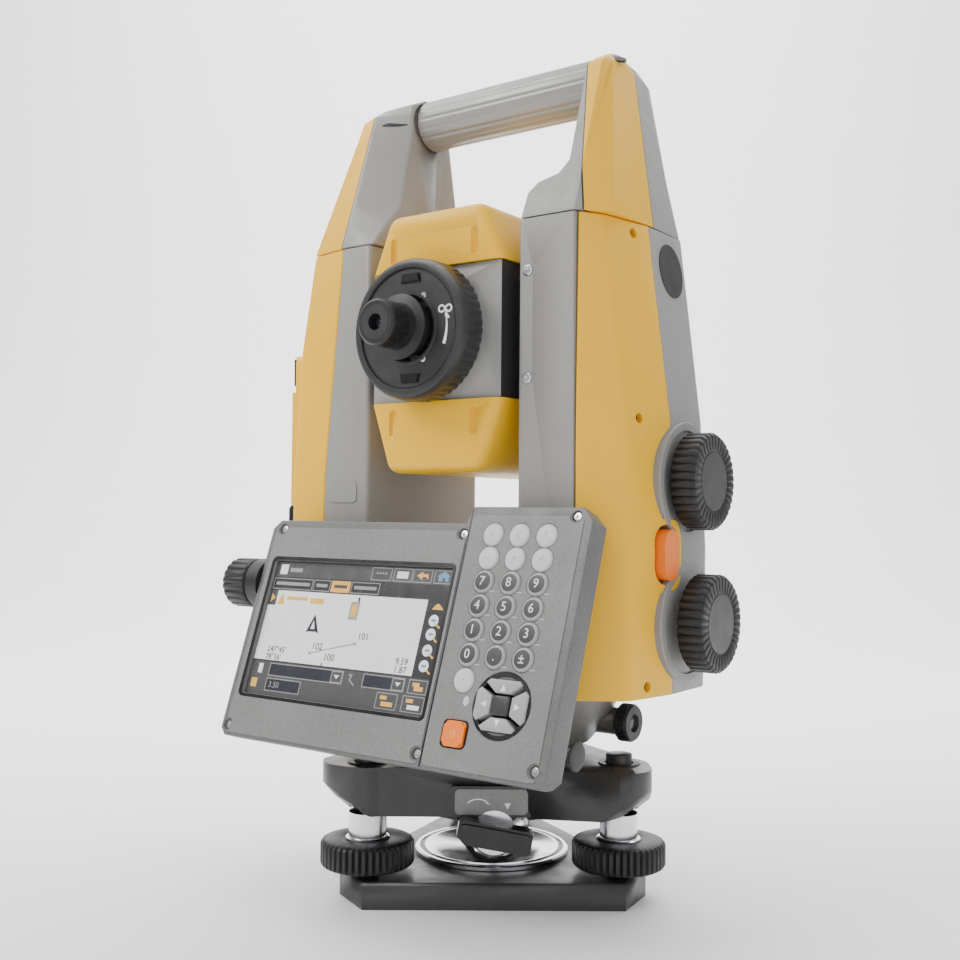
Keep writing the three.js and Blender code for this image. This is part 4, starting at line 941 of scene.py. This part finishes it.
def build_screen():
    """The screen's glass and the picture on it."""
    low, high = SCREEN_X, SCREEN_Y
    glass = slab(rounded(low[0] + 0.2, low[1] - 0.2, high[0] + 0.2, high[1] - 0.2, 1.2), -0.8, 0)
    stand_in("touch_screen", glass, SCREEN_DARK, FACE_TURN @ Matrix.Translation((0, 0, SCREEN_OUT)))
    aspect = (SCREEN_X[1] - SCREEN_X[0]) / (SCREEN_Y[1] - SCREEN_Y[0])
    screen_patch("ui_bar_top", 0, 1, 0.885, 1.0, SCREEN_BAR, 0.01)
    screen_patch("ui_bar_low", 0, 1, 0.0, 0.245, SCREEN_BAR, 0.01)
    screen_patch("ui_map", 0.0, 0.895, 0.255, 0.78, SCREEN_MAP, 0.02)
    screen_patch("ui_side", 0.905, 1.0, 0.255, 0.78, SCREEN_DARK, 0.02)
    screen_patch("ui_job_icon", 0.025, 0.07, 0.905, 0.98, SCREEN_MAP, 0.04)
    screen_patch("ui_job_bar", 0.085, 0.16, 0.925, 0.955, SCREEN_LINE, 0.04)
    for k, x in enumerate((0.565, 0.685, 0.79, 0.9)):
        screen_patch(f"ui_button_{k + 1}", x, x + (0.1 if k else 0.11), 0.895, 0.99, SCREEN_LINE, 0.04,
            True)
    screen_words("ui_button_dots", "••••", 0.62, 0.945, 4.4, SCREEN_LINE)
    screen_patch("ui_keyboard", 0.705, 0.765, 0.918, 0.968, SCREEN_MAP, 0.06)
    screen_shape("ui_back", [(0.81, 0.945), (0.84, 0.975), (0.84, 0.958), (0.868, 0.958), (0.872, 0.92),
        (0.855, 0.94), (0.84, 0.935), (0.84, 0.915)], SCREEN_AMBER, 0.06)
    screen_shape("ui_home", [(0.925, 0.912), (0.945, 0.912), (0.945, 0.935), (0.96, 0.935), (0.96, 0.912),
        (0.975, 0.912), (0.975, 0.945), (0.984, 0.945), (0.95, 0.983), (0.916, 0.945), (0.925, 0.945)],
        SCREEN_BLUE, 0.06)
    edges = (0.0, 0.245, 0.35, 0.465, 0.63)
    for k in range(4):
        tone = SCREEN_AMBER if k == 2 else SCREEN_DARK
        screen_patch(f"ui_tab_{k + 1}", edges[k] + 0.003, edges[k + 1] - 0.003, 0.79, 0.875, tone, 0.03)
        if k != 2:
            screen_patch(f"ui_tab_rim_{k + 1}", edges[k] + 0.003, edges[k + 1] - 0.003, 0.79, 0.875,
                SCREEN_LINE, 0.05, True)
        inset = 0.02
        screen_patch(f"ui_tab_text_{k + 1}", edges[k] + inset, edges[k + 1] - inset, 0.822, 0.846,
            SCREEN_LINE if k != 2 else SCREEN_BAR, 0.06)
    screen_patch("ui_corner", 0.0, 0.045, 0.665, 0.78, SCREEN_BAR, 0.05)
    screen_shape("ui_corner_arrow", [(0.012, 0.69), (0.036, 0.722), (0.012, 0.755)], SCREEN_AMBER, 0.07)
    screen_shape("ui_status_cone", [(0.055, 0.675), (0.1, 0.675), (0.077, 0.765)], SCREEN_AMBER, 0.05)
    screen_patch("ui_status_bar", 0.108, 0.235, 0.712, 0.738, SCREEN_AMBER, 0.05)
    screen_patch("ui_status_bar_2", 0.25, 0.33, 0.695, 0.735, SCREEN_AMBER, 0.05)
    screen_patch("ui_probe_rim", 0.49, 0.54, 0.6, 0.73, SCREEN_LINE, 0.05)
    screen_patch("ui_probe", 0.5, 0.53, 0.62, 0.71, SCREEN_AMBER, 0.06)
    screen_patch("ui_probe_tip", 0.525, 0.535, 0.73, 0.765, SCREEN_INK, 0.05)
    screen_shape("ui_north_left", [(0.268, 0.475), (0.302, 0.62), (0.302, 0.575), (0.288, 0.495)],
        SCREEN_INK, 0.05)
    screen_shape("ui_north_right", [(0.302, 0.62), (0.345, 0.475), (0.318, 0.5), (0.302, 0.575)],
        SCREEN_INK, 0.05)
    screen_shape("ui_north_foot", [(0.285, 0.49), (0.322, 0.49), (0.322, 0.51), (0.288, 0.51)],
        SCREEN_INK, 0.05)
    screen_shape("ui_link", [(0.322, 0.34), (0.325, 0.332), (0.562, 0.428), (0.56, 0.437)], SCREEN_LINE,
        0.05)
    for name, x, y in (("a", 0.322, 0.335), ("b", 0.562, 0.433), ("c", 0.405, 0.265)):
        screen_shape("ui_point_" + name, disc(x, y, 0.007, squash=aspect), SCREEN_LINE, 0.06)
    for words, x, y in (("102", 0.357, 0.387), ("101", 0.6, 0.487), ("100", 0.437, 0.317)):
        screen_words("ui_label_" + words, words, x, y, 4.2, SCREEN_INK)
    screen_words("ui_angle_1", "247°45'", 0.125, 0.335, 3.6, SCREEN_INK)
    screen_words("ui_angle_2", "78°56'", 0.115, 0.28, 3.6, SCREEN_INK)
    screen_words("ui_length_1", "9.59", 0.83, 0.342, 3.8, SCREEN_INK)
    screen_words("ui_length_2", "1.87", 0.83, 0.285, 3.8, SCREEN_INK)
    screen_shape("ui_up", [(0.925, 0.715), (0.983, 0.715), (0.965, 0.745), (0.95, 0.758), (0.938, 0.745)],
        SCREEN_AMBER, 0.05)
    for k, y in enumerate((0.64, 0.545, 0.435, 0.33)):
        screen_shape(f"ui_zoom_{k + 1}", disc(0.945, y, 0.024, squash=aspect), SCREEN_MAP, 0.05)
        screen_patch(f"ui_zoom_bar_{k + 1}", 0.934, 0.957, y - 0.008, y + 0.008, SCREEN_BLUE, 0.07)
        screen_shape(f"ui_zoom_stem_{k + 1}", [(0.958, y - 0.03), (0.965, y - 0.022), (0.985, y - 0.045),
            (0.978, y - 0.053)], SCREEN_AMBER, 0.06)
    screen_patch("ui_pole", 0.045, 0.07, 0.155, 0.225, SCREEN_MAP, 0.05)
    screen_patch("ui_field_1", 0.115, 0.47, 0.15, 0.228, SCREEN_INK, 0.03)
    screen_patch("ui_field_1_rim", 0.11, 0.54, 0.142, 0.236, SCREEN_LINE, 0.05, True)
    screen_patch("ui_arrow_box_1", 0.475, 0.536, 0.148, 0.23, SCREEN_LINE, 0.05, True)
    screen_shape("ui_arrow_1", [(0.49, 0.203), (0.505, 0.175), (0.52, 0.203)], SCREEN_MAP, 0.05)
    screen_shape("ui_wave", [(0.57, 0.22), (0.59, 0.22), (0.583, 0.18), (0.61, 0.15), (0.605, 0.143),
        (0.575, 0.178), (0.58, 0.212), (0.57, 0.212)], SCREEN_LINE, 0.05)
    screen_patch("ui_field_2", 0.655, 0.8, 0.15, 0.228, SCREEN_INK, 0.03)
    screen_patch("ui_field_2_rim", 0.65, 0.87, 0.142, 0.236, SCREEN_LINE, 0.05, True)
    screen_patch("ui_arrow_box_2", 0.805, 0.866, 0.148, 0.23, SCREEN_LINE, 0.05, True)
    screen_shape("ui_arrow_2", [(0.82, 0.203), (0.835, 0.175), (0.85, 0.203)], SCREEN_MAP, 0.05)
    screen_patch("ui_height_icon", 0.02, 0.055, 0.05, 0.115, SCREEN_AMBER, 0.05)
    screen_patch("ui_field_3", 0.115, 0.31, 0.04, 0.118, SCREEN_INK, 0.03)
    screen_patch("ui_field_3_rim", 0.11, 0.315, 0.032, 0.126, SCREEN_LINE, 0.05, True)
    screen_words("ui_field_3_text", "3.50", 0.16, 0.078, 3.6, SCREEN_LINE)
    for k, (x0, x1, y0, y1) in enumerate(((0.89, 0.985, 0.14, 0.235), (0.74, 0.85, 0.015, 0.125),
            (0.875, 0.985, 0.015, 0.125))):
        screen_patch(f"ui_tool_rim_{k + 1}", x0, x1, y0, y1, SCREEN_LINE, 0.05, True)
        screen_patch(f"ui_tool_{k + 1}", x0 + 0.02, x0 + 0.055, y1 - 0.045, y1 - 0.02, SCREEN_AMBER, 0.05)
        screen_patch(f"ui_tool_base_{k + 1}", x0 + 0.03, x1 - 0.02, y0 + 0.02, y0 + 0.05, SCREEN_MAP
            if k == 2 else SCREEN_AMBER, 0.05)


def build_housing():
    """The display's case with its screws, the line between its halves and the screen's rim."""
    node = "display_housing"
    bm = cad_copy(node)
    spin = DISPLAY_FRONT.inverted()
    front = 0.6

    def at(p):
        return spin @ p

    ease(bm, 4.2, lambda p, e: at(p).y < front and (at(p).z > SCREEN_TOP - 1.5 or at(p).x > 82), least=60,
        steps=4)
    ease(bm, 1.6, lambda p, e: at(p).y < front and (at(p).x < -80 or at(p).z < 1.5), least=60)
    ease(bm, 1.2, lambda p, e: at(p).y > 12 and at(p).z > 20, least=60)
    low, high = SCREEN_X, SCREEN_Y
    for x, y in HOUSING_SCREWS:
        bm = hole(bm, local(x, y), DISPLAY_FRONT.to_3x3() @ Vector((0, -1, 0)), 2.3, 1.6)
        socket_screw(f"display_screw_{round(x)}_{round(y)}", local(x, y, -1.5),
            DISPLAY_FRONT.to_3x3() @ Vector((0, -1, 0)),
                     "alidade", 1.9, 0.8)
    stand_in(node, bm, DARK, smooth=35)
    line = slab(rounded(SPLIT_X - 0.35, SPLIT_X + 0.35, 0.6, KEYPAD_TOP - 1, 0.3), -0.3, 0.06)
    face_piece("display_split", line, GLOSS)
    rim = slab(rounded(low[0] - 1.5, low[1] + 1.5, high[0] - 1.5, high[1] + 1.5, 2.4), -0.3, 0.35, edge=0.3)
    rim = boolean(rim, slab(rounded(low[0] - 0.2, low[1] + 0.2, high[0] - 0.2, high[1] + 0.2, 1.4), -2, 2))
    face_piece("screen_rim", rim, GLOSS)
    build_faces()


def build_faces():
    """The two lighter faces, a hair proud of the housing, with cut-outs for the screws, keys and screen."""
    left = slab(rounded(-79.4, SPLIT_X - 0.8, 1.4, 93.6, 2.2), -0.3, 0.3, edge=0.2)
    left = boolean(left, slab(rounded(SCREEN_X[0] - 1.6, SCREEN_X[1] + 1.6, SCREEN_Y[0] - 1.6,
        SCREEN_Y[1] + 1.6, 2.5), -3, 3))
    right = slab(rounded(SPLIT_X + 0.8, 80.2, 1.4, 100.4, 2.2), -0.3, 0.3, edge=0.2)
    for x, y in HOUSING_SCREWS:
        pin = lathe([(0, -3), (2.9, -3), (2.9, 3), (0, 3)], "z", (x, y, 0), 40)
        if x < SPLIT_X:
            left = boolean(left, pin)
        else:
            right = boolean(right, pin)
    spin = DISPLAY_FRONT.inverted()
    for node in NODES:
        if node.startswith("key_") or node in ("alpha_key", "power_key"):
            centre = spin @ middle(node)
            low, high = box(node)
            r = (high.x - low.x) / 2 + 0.35
            if node == "power_key":
                r = 5.4
                well = slab(rounded(centre.x - r - 0.6, centre.x + r + 0.6, centre.z - r, centre.z + r,
                    2.2), -3, 3)
            else:
                well = lathe([(0, -3), (r, -3), (r, 3), (0, 3)], "z", (centre.x, centre.z, 0), 48)
            right = boolean(right, well)
    pad = spin @ middle("centre_key")
    right = boolean(right, lathe([(0, -3), (12.9, -3), (12.9, 3), (0, 3)], "z", (pad.x, pad.z, 0), 72))
    face_piece("screen_face", left, FACE, smooth=35)
    face_piece("keypad_face", right, FACE, smooth=35)
    well = ring_band(10.9, 12.6, -0.4, 0.35, "z", (pad.x, pad.z, 0), 0.3, 72)
    face_piece("pad_ring", well, GLOSS)
    light = slab([(x, y) for x, y in disc(43.6, 27.0, 1.3, squash=1.6)], -0.3, 0.35, edge=0.2)
    face_piece("status_light", light, KEY_WHITE)


NUMERALS = (("7", "8", "9"), ("4", "5", "6"), ("1", "2", "3"), ("0", ".", "±"))


def build_keys():
    """The round keys with their print, and the power key in its well."""
    spin = DISPLAY_FRONT.inverted()
    for node in NODES:
        if not (node.startswith("key_") or node == "alpha_key"):
            continue
        centre = spin @ middle(node)
        low, high = box(node)
        r = (high.x - low.x) / 2
        body = NODE_BODY[node]
        row, column = (int(node[4]), int(node[6])) if node.startswith("key_") else (0, 0)
        number = row >= 3
        rise = 1.2
        at = FACE_TURN @ Matrix.Translation((centre.x, centre.z, 0))
        cap = lathe([(0, -1), (r, -1), (r, rise - 0.7), (r - 0.5, rise - 0.15), (r - 0.95, rise),
            (0, rise)], sides=56)
        stand_in(node, cap, KEY_GREY if number else KEY_WHITE, at, smooth=60)
        if number:
            dish = lathe([(0, -0.2), (r - 1.05, -0.2), (r - 1.15, 0.04), (r - 1.7, 0.1), (0, 0.07)],
                sides=48)
            piece(node + "_disc", dish, KEY_RING, body, at @ Matrix.Translation((0, 0, rise)))
            words = NUMERALS[row - 3][column - 1]
            lettering(node + "_mark", words, 5.2, at @ Matrix.Translation((-0.25, 0.0, rise + 0.12)),
                WHITE, body)
            for k in range(3):
                dash = slab([(-1.1 + 0.85 * k, -4.95), (-0.55 + 0.85 * k, -4.95),
                    (-0.55 + 0.85 * k, -4.7), (-1.1 + 0.85 * k, -4.7)], 0, 0.03)
                piece(f"{node}_legend_{k + 1}", dash, WHITE, "alidade",
                    at @ Matrix.Translation((4.6, 1.3, 0.3)))
        else:
            key_mark(node, row, column, at @ Matrix.Translation((0, 0, rise)), body)
    low, high = box("power_key")
    centre = spin @ middle("power_key")
    half = (high.x - low.x) / 2
    at = FACE_TURN @ Matrix.Translation((centre.x, centre.z, 0))
    stand_in("power_key", slab(rounded(-half, half, -half, half, 1.7), -1, 1.25, edge=0.8, steps=4),
        ORANGE, at, smooth=60)
    well = slab(rounded(-5.9, 5.9, -5.3, 5.3, 2.2), -0.5, 0.15)
    well = boolean(well, slab(rounded(-half - 0.15, half + 0.15, -half - 0.15, half + 0.15, 1.8), -3, 3))
    piece("power_well", well, GLOSS, "alidade", at)
    mark = ring_band(0.9, 1.25, -0.1, 0.05, "z", (0, 0, 0), 0.02, 32)
    mark = boolean(mark, block((-0.35, 0.3, -1), (0.35, 2, 1)))
    block((-0.13, 0.3, -0.1), (0.13, 1.5, 0.05), 0, mark)
    piece("power_mark", mark, AMBER, NODE_BODY["power_key"], at @ Matrix.Translation((0, 0, 1.25)))
    build_pad()


def key_mark(node, row, column, at, body):
    """A faint printed sign on a white key, none of them words."""
    sign = {
        (0, 0): "•", (1, 1): "=", (1, 2): "||", (1, 3): "*", (2, 1): "–", (2, 2): "+", (2, 3): "<",
    }.get((row, column))
    if sign:
        lettering(node + "_mark", sign, 4.0, at @ Matrix.Translation((0, 0, 0.02)), KEY_GREY, body, 0.04)


def build_pad():
    """Four arrow keys round a centre key."""
    spin = DISPLAY_FRONT.inverted()
    middle_key = spin @ middle("centre_key")
    for node, turn in (("arrow_key_right", 0), ("arrow_key_up", 90), ("arrow_key_left", 180),
            ("arrow_key_down", 270)):
        bm = cad_copy(node, 3)
        ease(bm, 0.5, lambda p, e: (spin @ p).y < 0, least=50)
        stand_in(node, bm, KEY_GREY, smooth=45)
        at = FACE_TURN @ Matrix.Translation((middle_key.x, middle_key.z,
            0)) @ Matrix.Rotation(radians(turn), 4, "Z")
        front = -min((spin @ (v.co / MM)).y for v in NODES[node].data.vertices)
        reach = 7.4 if turn % 180 == 0 else 6.4
        arrow = slab([(reach - 1.2, -1.25), (reach + 1.3, 0), (reach - 1.2, 1.25)], 0, 0.05)
        piece(node + "_mark", arrow, WHITE, NODE_BODY[node], at @ Matrix.Translation((0, 0, front)))
    bm = cad_copy("centre_key", 3)
    ease(bm, 0.6, lambda p, e: (spin @ p).y < 0, least=50)
    stand_in("centre_key", bm, HUB, smooth=45)


def build_side_knob():
    """The ribbed knob on the display's left."""
    low, high = box("display_clamp_knob")
    at = (0, (low.y + high.y) / 2, (low.z + high.z) / 2)
    r = (high.z - low.z) / 2
    profile = [(0, low.x), (r - 2.6, low.x), (r - 2.2, low.x + 0.3, 0.0, 0),
        (r - 0.9, low.x + 0.5, 0.4, 0), (r - 0.1, low.x + 1.5, 0.8, 0),
               (r - 0.1, low.x + 13, 0.8, 0), (r - 0.6, low.x + 13.8), (r - 1.6, low.x + 14.4),
               (r - 1.6, low.x + 15.5),
               (r, low.x + 16), (r, high.x), (0, high.x)]
    profile = [row for row in profile if row[1] <= high.x + 1e-6]
    bm = lathe(profile, "x", at, 20 * 8, dent=notches(20, 0.4, 0.6))
    stand_in("display_clamp_knob", bm, RUBBER, smooth=40)


def build_display():
    """Everything on the operator's side."""
    build_housing()
    build_screen()
    build_keys()
    build_side_knob()
    right = box("display_housing")[1].x
    plug = lathe([(0, 0), (5.6, 0), (5.6, 0.35), (5.1, 0.8), (3.6, 0.95), (0, 0.95)], sides=64)
    piece("port_cover", plug, BLACK, "alidade", frame_at((right - 0.6, -65, 73), (1, 0, 0)))


# ------------------------------------------------------------------ tribrach

KNOB_Z = (13, 24)
BODY_LOW_Z = 35.5
BODY_TOP_Z = 55.5
CLAMP_Z = 30


def build_tribrach():
    """The levelling base."""
    body = cad_copy("tribrach_body", 4)
    low, high = box("tribrach_body")
    ease(body, 1.3, lambda p, e: p.z > high.z - 0.3 or p.z < low.z + 0.3, least=50)
    stand_in("tribrach_body", body, CAST, smooth=40)
    plate = cad_copy("base_plate", 4)
    low, high = box("base_plate")
    ease(plate, 1.2, lambda p, e: p.z > high.z - 0.3 or p.z < low.z + 0.3, least=50)
    stand_in("base_plate", plate, CAST, smooth=40)
    low, high = box("spring_plate")
    r = (high.x - low.x) / 2
    profile = [(4, low.z), (r, low.z), (r, high.z - 0.7), (r - 0.7, high.z - 0.1),
        (r - 2.0, high.z - 0.1), (r - 2.2, high.z - 0.7),
               (r - 4.0, high.z - 0.7), (r - 4.2, high.z), (r - 5.2, high.z), (r - 5.6, high.z - 0.25),
               (4, high.z - 0.25), (4, low.z)]
    stand_in("spring_plate", lathe(profile[:-1], sides=128), STEEL, smooth=35)
    # A black ring laid in the bottom of the spring plate's groove is painted shade and painted reflection: it
    # stands for the dark band that the polished plate shows there, and is not a part of the base.
    groove = ring_band(r - 4.0, r - 2.2, high.z - 0.9, high.z - 0.55, edge=0.1, sides=128)
    piece("painted_groove_shade", groove, GLOSS, "base")
    for k in (1, 2, 3):
        build_foot_screw(f"foot_screw_{k}")
    build_label()
    build_clamp()
    build_level()
    spindle = cad_copy("spindle", 4)
    stand_in("spindle", spindle, STEEL)


def build_foot_screw(node):
    """A ribbed wheel with its sleeve, cap and washer."""
    low, high = box(node)
    at = ((low.x + high.x) / 2, (low.y + high.y) / 2, 0)
    r = (high.x - low.x) / 2
    z0, z1 = KNOB_Z
    wheel = lathe([(0, z0), (r - 1.6, z0), (r - 0.6, z0 + 0.6, 0.5, 0), (r, z0 + 1.6, 1.1, 0),
        (r, z1 - 1.6, 1.1, 0),
                   (r - 0.9, z1 - 0.5, 0.7, 0), (r - 2.4, z1, 0, 0), (10.2, z1 + 0.25), (9.4, z1 - 0.3),
                   (0, z1 - 0.3)],
                  "z", at, 44 * 8, dent=notches(44, 0.42, 0.55))
    stem = lathe([(0, low.z), (4.6, low.z), (5, low.z + 0.5), (5, z0 + 0.5), (0, z0 + 0.5)], "z", at, 48)
    merged(wheel, stem)
    stand_in(node, wheel, RUBBER, smooth=40)
    body = NODE_BODY[node]
    sleeve = lathe([(0, z1 - 0.4), (9.2, z1 - 0.4), (9.2, z1 + 0.5), (8.7, z1 + 0.9), (8, z1 + 1.0),
        (8, BODY_LOW_Z - 0.4), (0, BODY_LOW_Z - 0.4)],
                   "z", at, 72)
    piece(node + "_sleeve", sleeve, STEEL, body, slot="steel")
    cap = lathe([(0, high.z - 4.4), (5.5, high.z - 4.4), (5.5, high.z - 0.9), (4.6, high.z - 0.1),
        (3.2, high.z), (3.0, high.z - 0.6), (0, high.z - 0.6)],
                "z", at, 56)
    piece(node + "_cap", cap, GLOSS, body)
    washer = ring_band(6.1, 9.0, BODY_TOP_Z - 0.5, BODY_TOP_Z + 0.6, "z", at, 0.5, 56)
    piece(node + "_washer", washer, BLACK, "tribrach")


def build_label():
    """A small plate on the waist facing the operator's side, printed with an arrow and a triangle."""
    front = min((TRIBRACH.inverted() @ (v.co / MM)).y for v in NODES["tribrach_body"].data.vertices
                if abs((TRIBRACH.inverted() @ (v.co / MM)).x) < 14)
    at = TRIBRACH @ Matrix.Translation((-1.2, front, 42.3)) @ Matrix.Rotation(pi / 2, 4, "X")
    back = slab(rounded(-17, 17, -6.3, 6.3, 2), -1.0, 0.12, edge=0.1)
    piece("label_seat", back, CAST, "tribrach", at)
    plate = slab(rounded(-15, 15, -5.2, 5.2, 1.8), -0.5, 0.45, edge=0.3)
    piece("label_plate", plate, FACE, "tribrach", at)
    arc = bmesh.new()
    inner, outer = [], []
    for k in range(13):
        a = radians(140 - 95 * k / 12)
        inner.append(arc.verts.new((-5.5 + 5.4 * cos(a), -3.6 + 5.4 * sin(a) * 0.85, 0)))
        outer.append(arc.verts.new((-5.5 + 5.9 * cos(a), -3.6 + 5.9 * sin(a) * 0.85, 0)))
    for k in range(12):
        arc.faces.new([inner[k], outer[k], outer[k + 1], inner[k + 1]])
    arc.faces.new([arc.verts.new(p) for p in ((-2.5, 0.9, 0), (-0.4, -1.0, 0), (-2.4, -0.5, 0))])
    thick = bmesh.ops.extrude_face_region(arc, geom=arc.faces[:])
    for v in thick["geom"]:
        if isinstance(v, bmesh.types.BMVert):
            v.co.z += 0.05
    piece("label_arrow", arc, WHITE, "tribrach", at @ Matrix.Translation((0, 0, 0.45)))
    triangle = slab([(5.3, -0.4), (7.9, -0.4), (6.6, -3.0)], 0, 0.05)
    piece("label_triangle", triangle, WHITE, "tribrach", at @ Matrix.Translation((0, 0, 0.45)))


def build_clamp():
    """The tilted bar of the clamp in front of a chromed hub that narrows outwards from a thin disc."""
    out = TRIBRACH @ Matrix.Translation((0, 0, CLAMP_Z))
    lean = out @ Matrix.Rotation(radians(10), 4, "Y")
    outline = [(-14.6, 4.3), (-12.4, 4.8), (13.2, 4.8), (15.2, 3.9), (15.2, -3.6), (13.8, -4.8),
        (-11.6, -4.8), (-15.2, -1.9), (-15.2, 3.7)]
    bar = slab(outline[::-1], 45.2, 55, axis="-y", edge=1.3, steps=4)
    stand_in("clamp_knob", bar, GLOSS, lean, smooth=40)
    front = Matrix.Rotation(pi / 2, 4, "X")
    hub = lathe([(0, 30), (5, 30), (5, 34.6), (13.6, 34.6), (14.3, 35.2), (14.3, 36.2), (13.2, 37.2),
        (10.6, 41.2),
                 (9.0, 45.4), (0, 45.4)], sides=96)
    piece("clamp_hub", hub, STEEL, "clamp", out @ front)
    at = lean @ Vector((11.2, -55, -0.3))
    socket_screw("clamp_screw", at + (lean.to_3x3() @ Vector((0, 0.55, 0))),
        lean.to_3x3() @ Vector((0, -1, 0)), "clamp", 1.5, 0.5)


def build_level():
    """The circular level: a rim, a vial and a ring."""
    low, high = box("circular_level")
    at = ((low.x + high.x) / 2, (low.y + high.y) / 2, 0)
    r = (high.x - low.x) / 2
    rim = lathe([(0, low.z), (r, low.z), (r, high.z - 0.8), (r - 0.8, high.z), (r - 2.2, high.z),
        (r - 2.5, high.z - 0.5), (0, high.z - 0.5)],
                "z", at, 72)
    stand_in("circular_level", rim, BLACK, smooth=50)
    vial = lathe([(0, high.z - 1.2), (r - 2.6, high.z - 1.2), (r - 2.6, high.z - 0.6),
        (r - 4.2, high.z - 0.2), (0, high.z - 0.1)], "z", at, 60)
    piece("level_vial", vial, VIAL, "tribrach")
    bubble = ring_band(1.7, 2.1, high.z - 0.3, high.z - 0.04, "z", at, 0.05, 40)
    piece("level_ring", bubble, BLACK, "tribrach")


def build_plummet():
    """The optical plummet's eyepiece."""
    low, high = box("plummet_eyepiece")
    r = (high.z - low.z) / 2
    at = (0, (low.y + high.y) / 2, (low.z + high.z) / 2)
    profile = [(0, low.x), (r - 1, low.x), (r, low.x + 1), (r, low.x + 1.2, 0.35, 0),
        (r, high.x - 1.4, 0.35, 0), (r, high.x - 1.1), (r - 0.8, high.x), (0, high.x)]
    bm = lathe(profile, "x", at, 40 * 6, dent=notches(40, 0.4, 0.8))
    cup = lathe([(0, high.x - 1.6), (3.2, high.x - 1.6), (4.4, high.x + 1), (0, high.x + 1)], "x", at, 48)
    stand_in("plummet_eyepiece", boolean(bm, cup), RUBBER, smooth=40)
    glass = lathe([(0, high.x - 2), (3.1, high.x - 2), (3.1, high.x - 1.5), (1.5, high.x - 1.1),
        (0, high.x - 1.0)], "x", at, 40)
    piece("plummet_lens", glass, LENS, NODE_BODY["plummet_eyepiece"])


# ------------------------------------------------------------------ the picture

def studio():
    """Pale floor and wide soft lights; the camera that looks from the operator's right is made in camera()."""
    floor_bm = bmesh.new()
    side = 4000
    rows = []
    for y, z in [(-side, 0), (900, 0)] + [(900 + 900 * sin(radians(a)), 900 - 900 * cos(radians(a)))
            for a in range(10, 91, 10)] + [(1800, 3600)]:
        rows.append([floor_bm.verts.new((x, y, z - 0.05)) for x in (-side, side)])
    for a, b in zip(rows, rows[1:]):
        floor_bm.faces.new([a[0], a[1], b[1], b[0]])
    floor_bm.transform(Matrix.Scale(MM, 4) @ Matrix.Rotation(radians(35.4), 4, "Z"))
    mesh = bpy.data.meshes.new("floor")
    floor_bm.to_mesh(mesh)
    floor_bm.free()
    mesh.polygons.foreach_set("use_smooth", [True] * len(mesh.polygons))
    floor = bpy.data.objects.new("floor", mesh)
    floor.data.materials.append(surface("studio_floor", (0.93, 0.93, 0.93), 0.6, vary=0.01))
    bpy.context.scene.collection.objects.link(floor)
    for name, spot, size, power, tone in (
        ("key_light", (-0.65, -0.85, 1.15), 0.7, 14, (1, 0.99, 0.97)),
        ("fill_light", (1.25, -0.55, 0.75), 1.1, 4.5, (0.97, 0.98, 1)),
        ("top_light", (0.1, 0.15, 1.5), 1.3, 10, (1, 1, 1)),
        ("front_light", (0.35, -1.4, 0.35), 0.9, 3, (1, 1, 1)),
    ):
        light = bpy.data.lights.new(name, "AREA")
        light.size = size
        light.energy = power
        light.color = tone
        lamp = bpy.data.objects.new(name, light)
        lamp.location = spot
        lamp.rotation_euler = (Vector(spot) - Vector((0, 0, 0.17))).to_track_quat("Z", "Y").to_euler()
        bpy.context.scene.collection.objects.link(lamp)
    glow = bpy.data.lights.new("backdrop_light", "AREA")
    glow.size = 2.0
    glow.energy = 60
    lamp = bpy.data.objects.new("backdrop_light", glow)
    behind = Matrix.Rotation(radians(35.4), 3, "Z")
    lamp.location = behind @ Vector((0, 0.75, 1.3))
    lamp.rotation_euler = (behind @ Vector((0, -1.0, 0.9))).to_track_quat("Z", "Y").to_euler()
    bpy.context.scene.collection.objects.link(lamp)
    world = bpy.data.worlds.new("studio")
    world.use_nodes = True
    world.node_tree.nodes["Background"].inputs["Color"].default_value = (0.95, 0.96, 1, 1)
    world.node_tree.nodes["Background"].inputs["Strength"].default_value = 0.55
    bpy.context.scene.world = world


def camera():
    """The camera at the photograph's angle."""
    azimuth, distance, height = radians(35.38), 525.7, 160.8
    yaw, pitch, roll = radians(0.717), radians(1.614), radians(0.507)
    heading = azimuth + yaw
    look = Vector((-sin(heading) * cos(pitch), cos(heading) * cos(pitch), sin(pitch)))
    right = Vector((cos(heading), sin(heading), 0))
    up = right.cross(look)
    side = right * cos(roll) + up * sin(roll)
    rise = up * cos(roll) - right * sin(roll)
    lens = bpy.data.cameras.new("camera")
    lens.lens = 43.68
    lens.sensor_width = 36
    eye = bpy.data.objects.new("camera", lens)
    turn = Matrix((side, rise, -look)).transposed().to_4x4()
    eye.matrix_world = Matrix.Translation(Vector((distance * sin(azimuth), -distance * cos(azimuth),
        height)) * MM) @ turn
    bpy.context.scene.collection.objects.link(eye)
    bpy.context.scene.camera = eye


build_columns()
build_handle()
build_telescope()
build_display()
build_tribrach()
build_plummet()
studio()
camera()
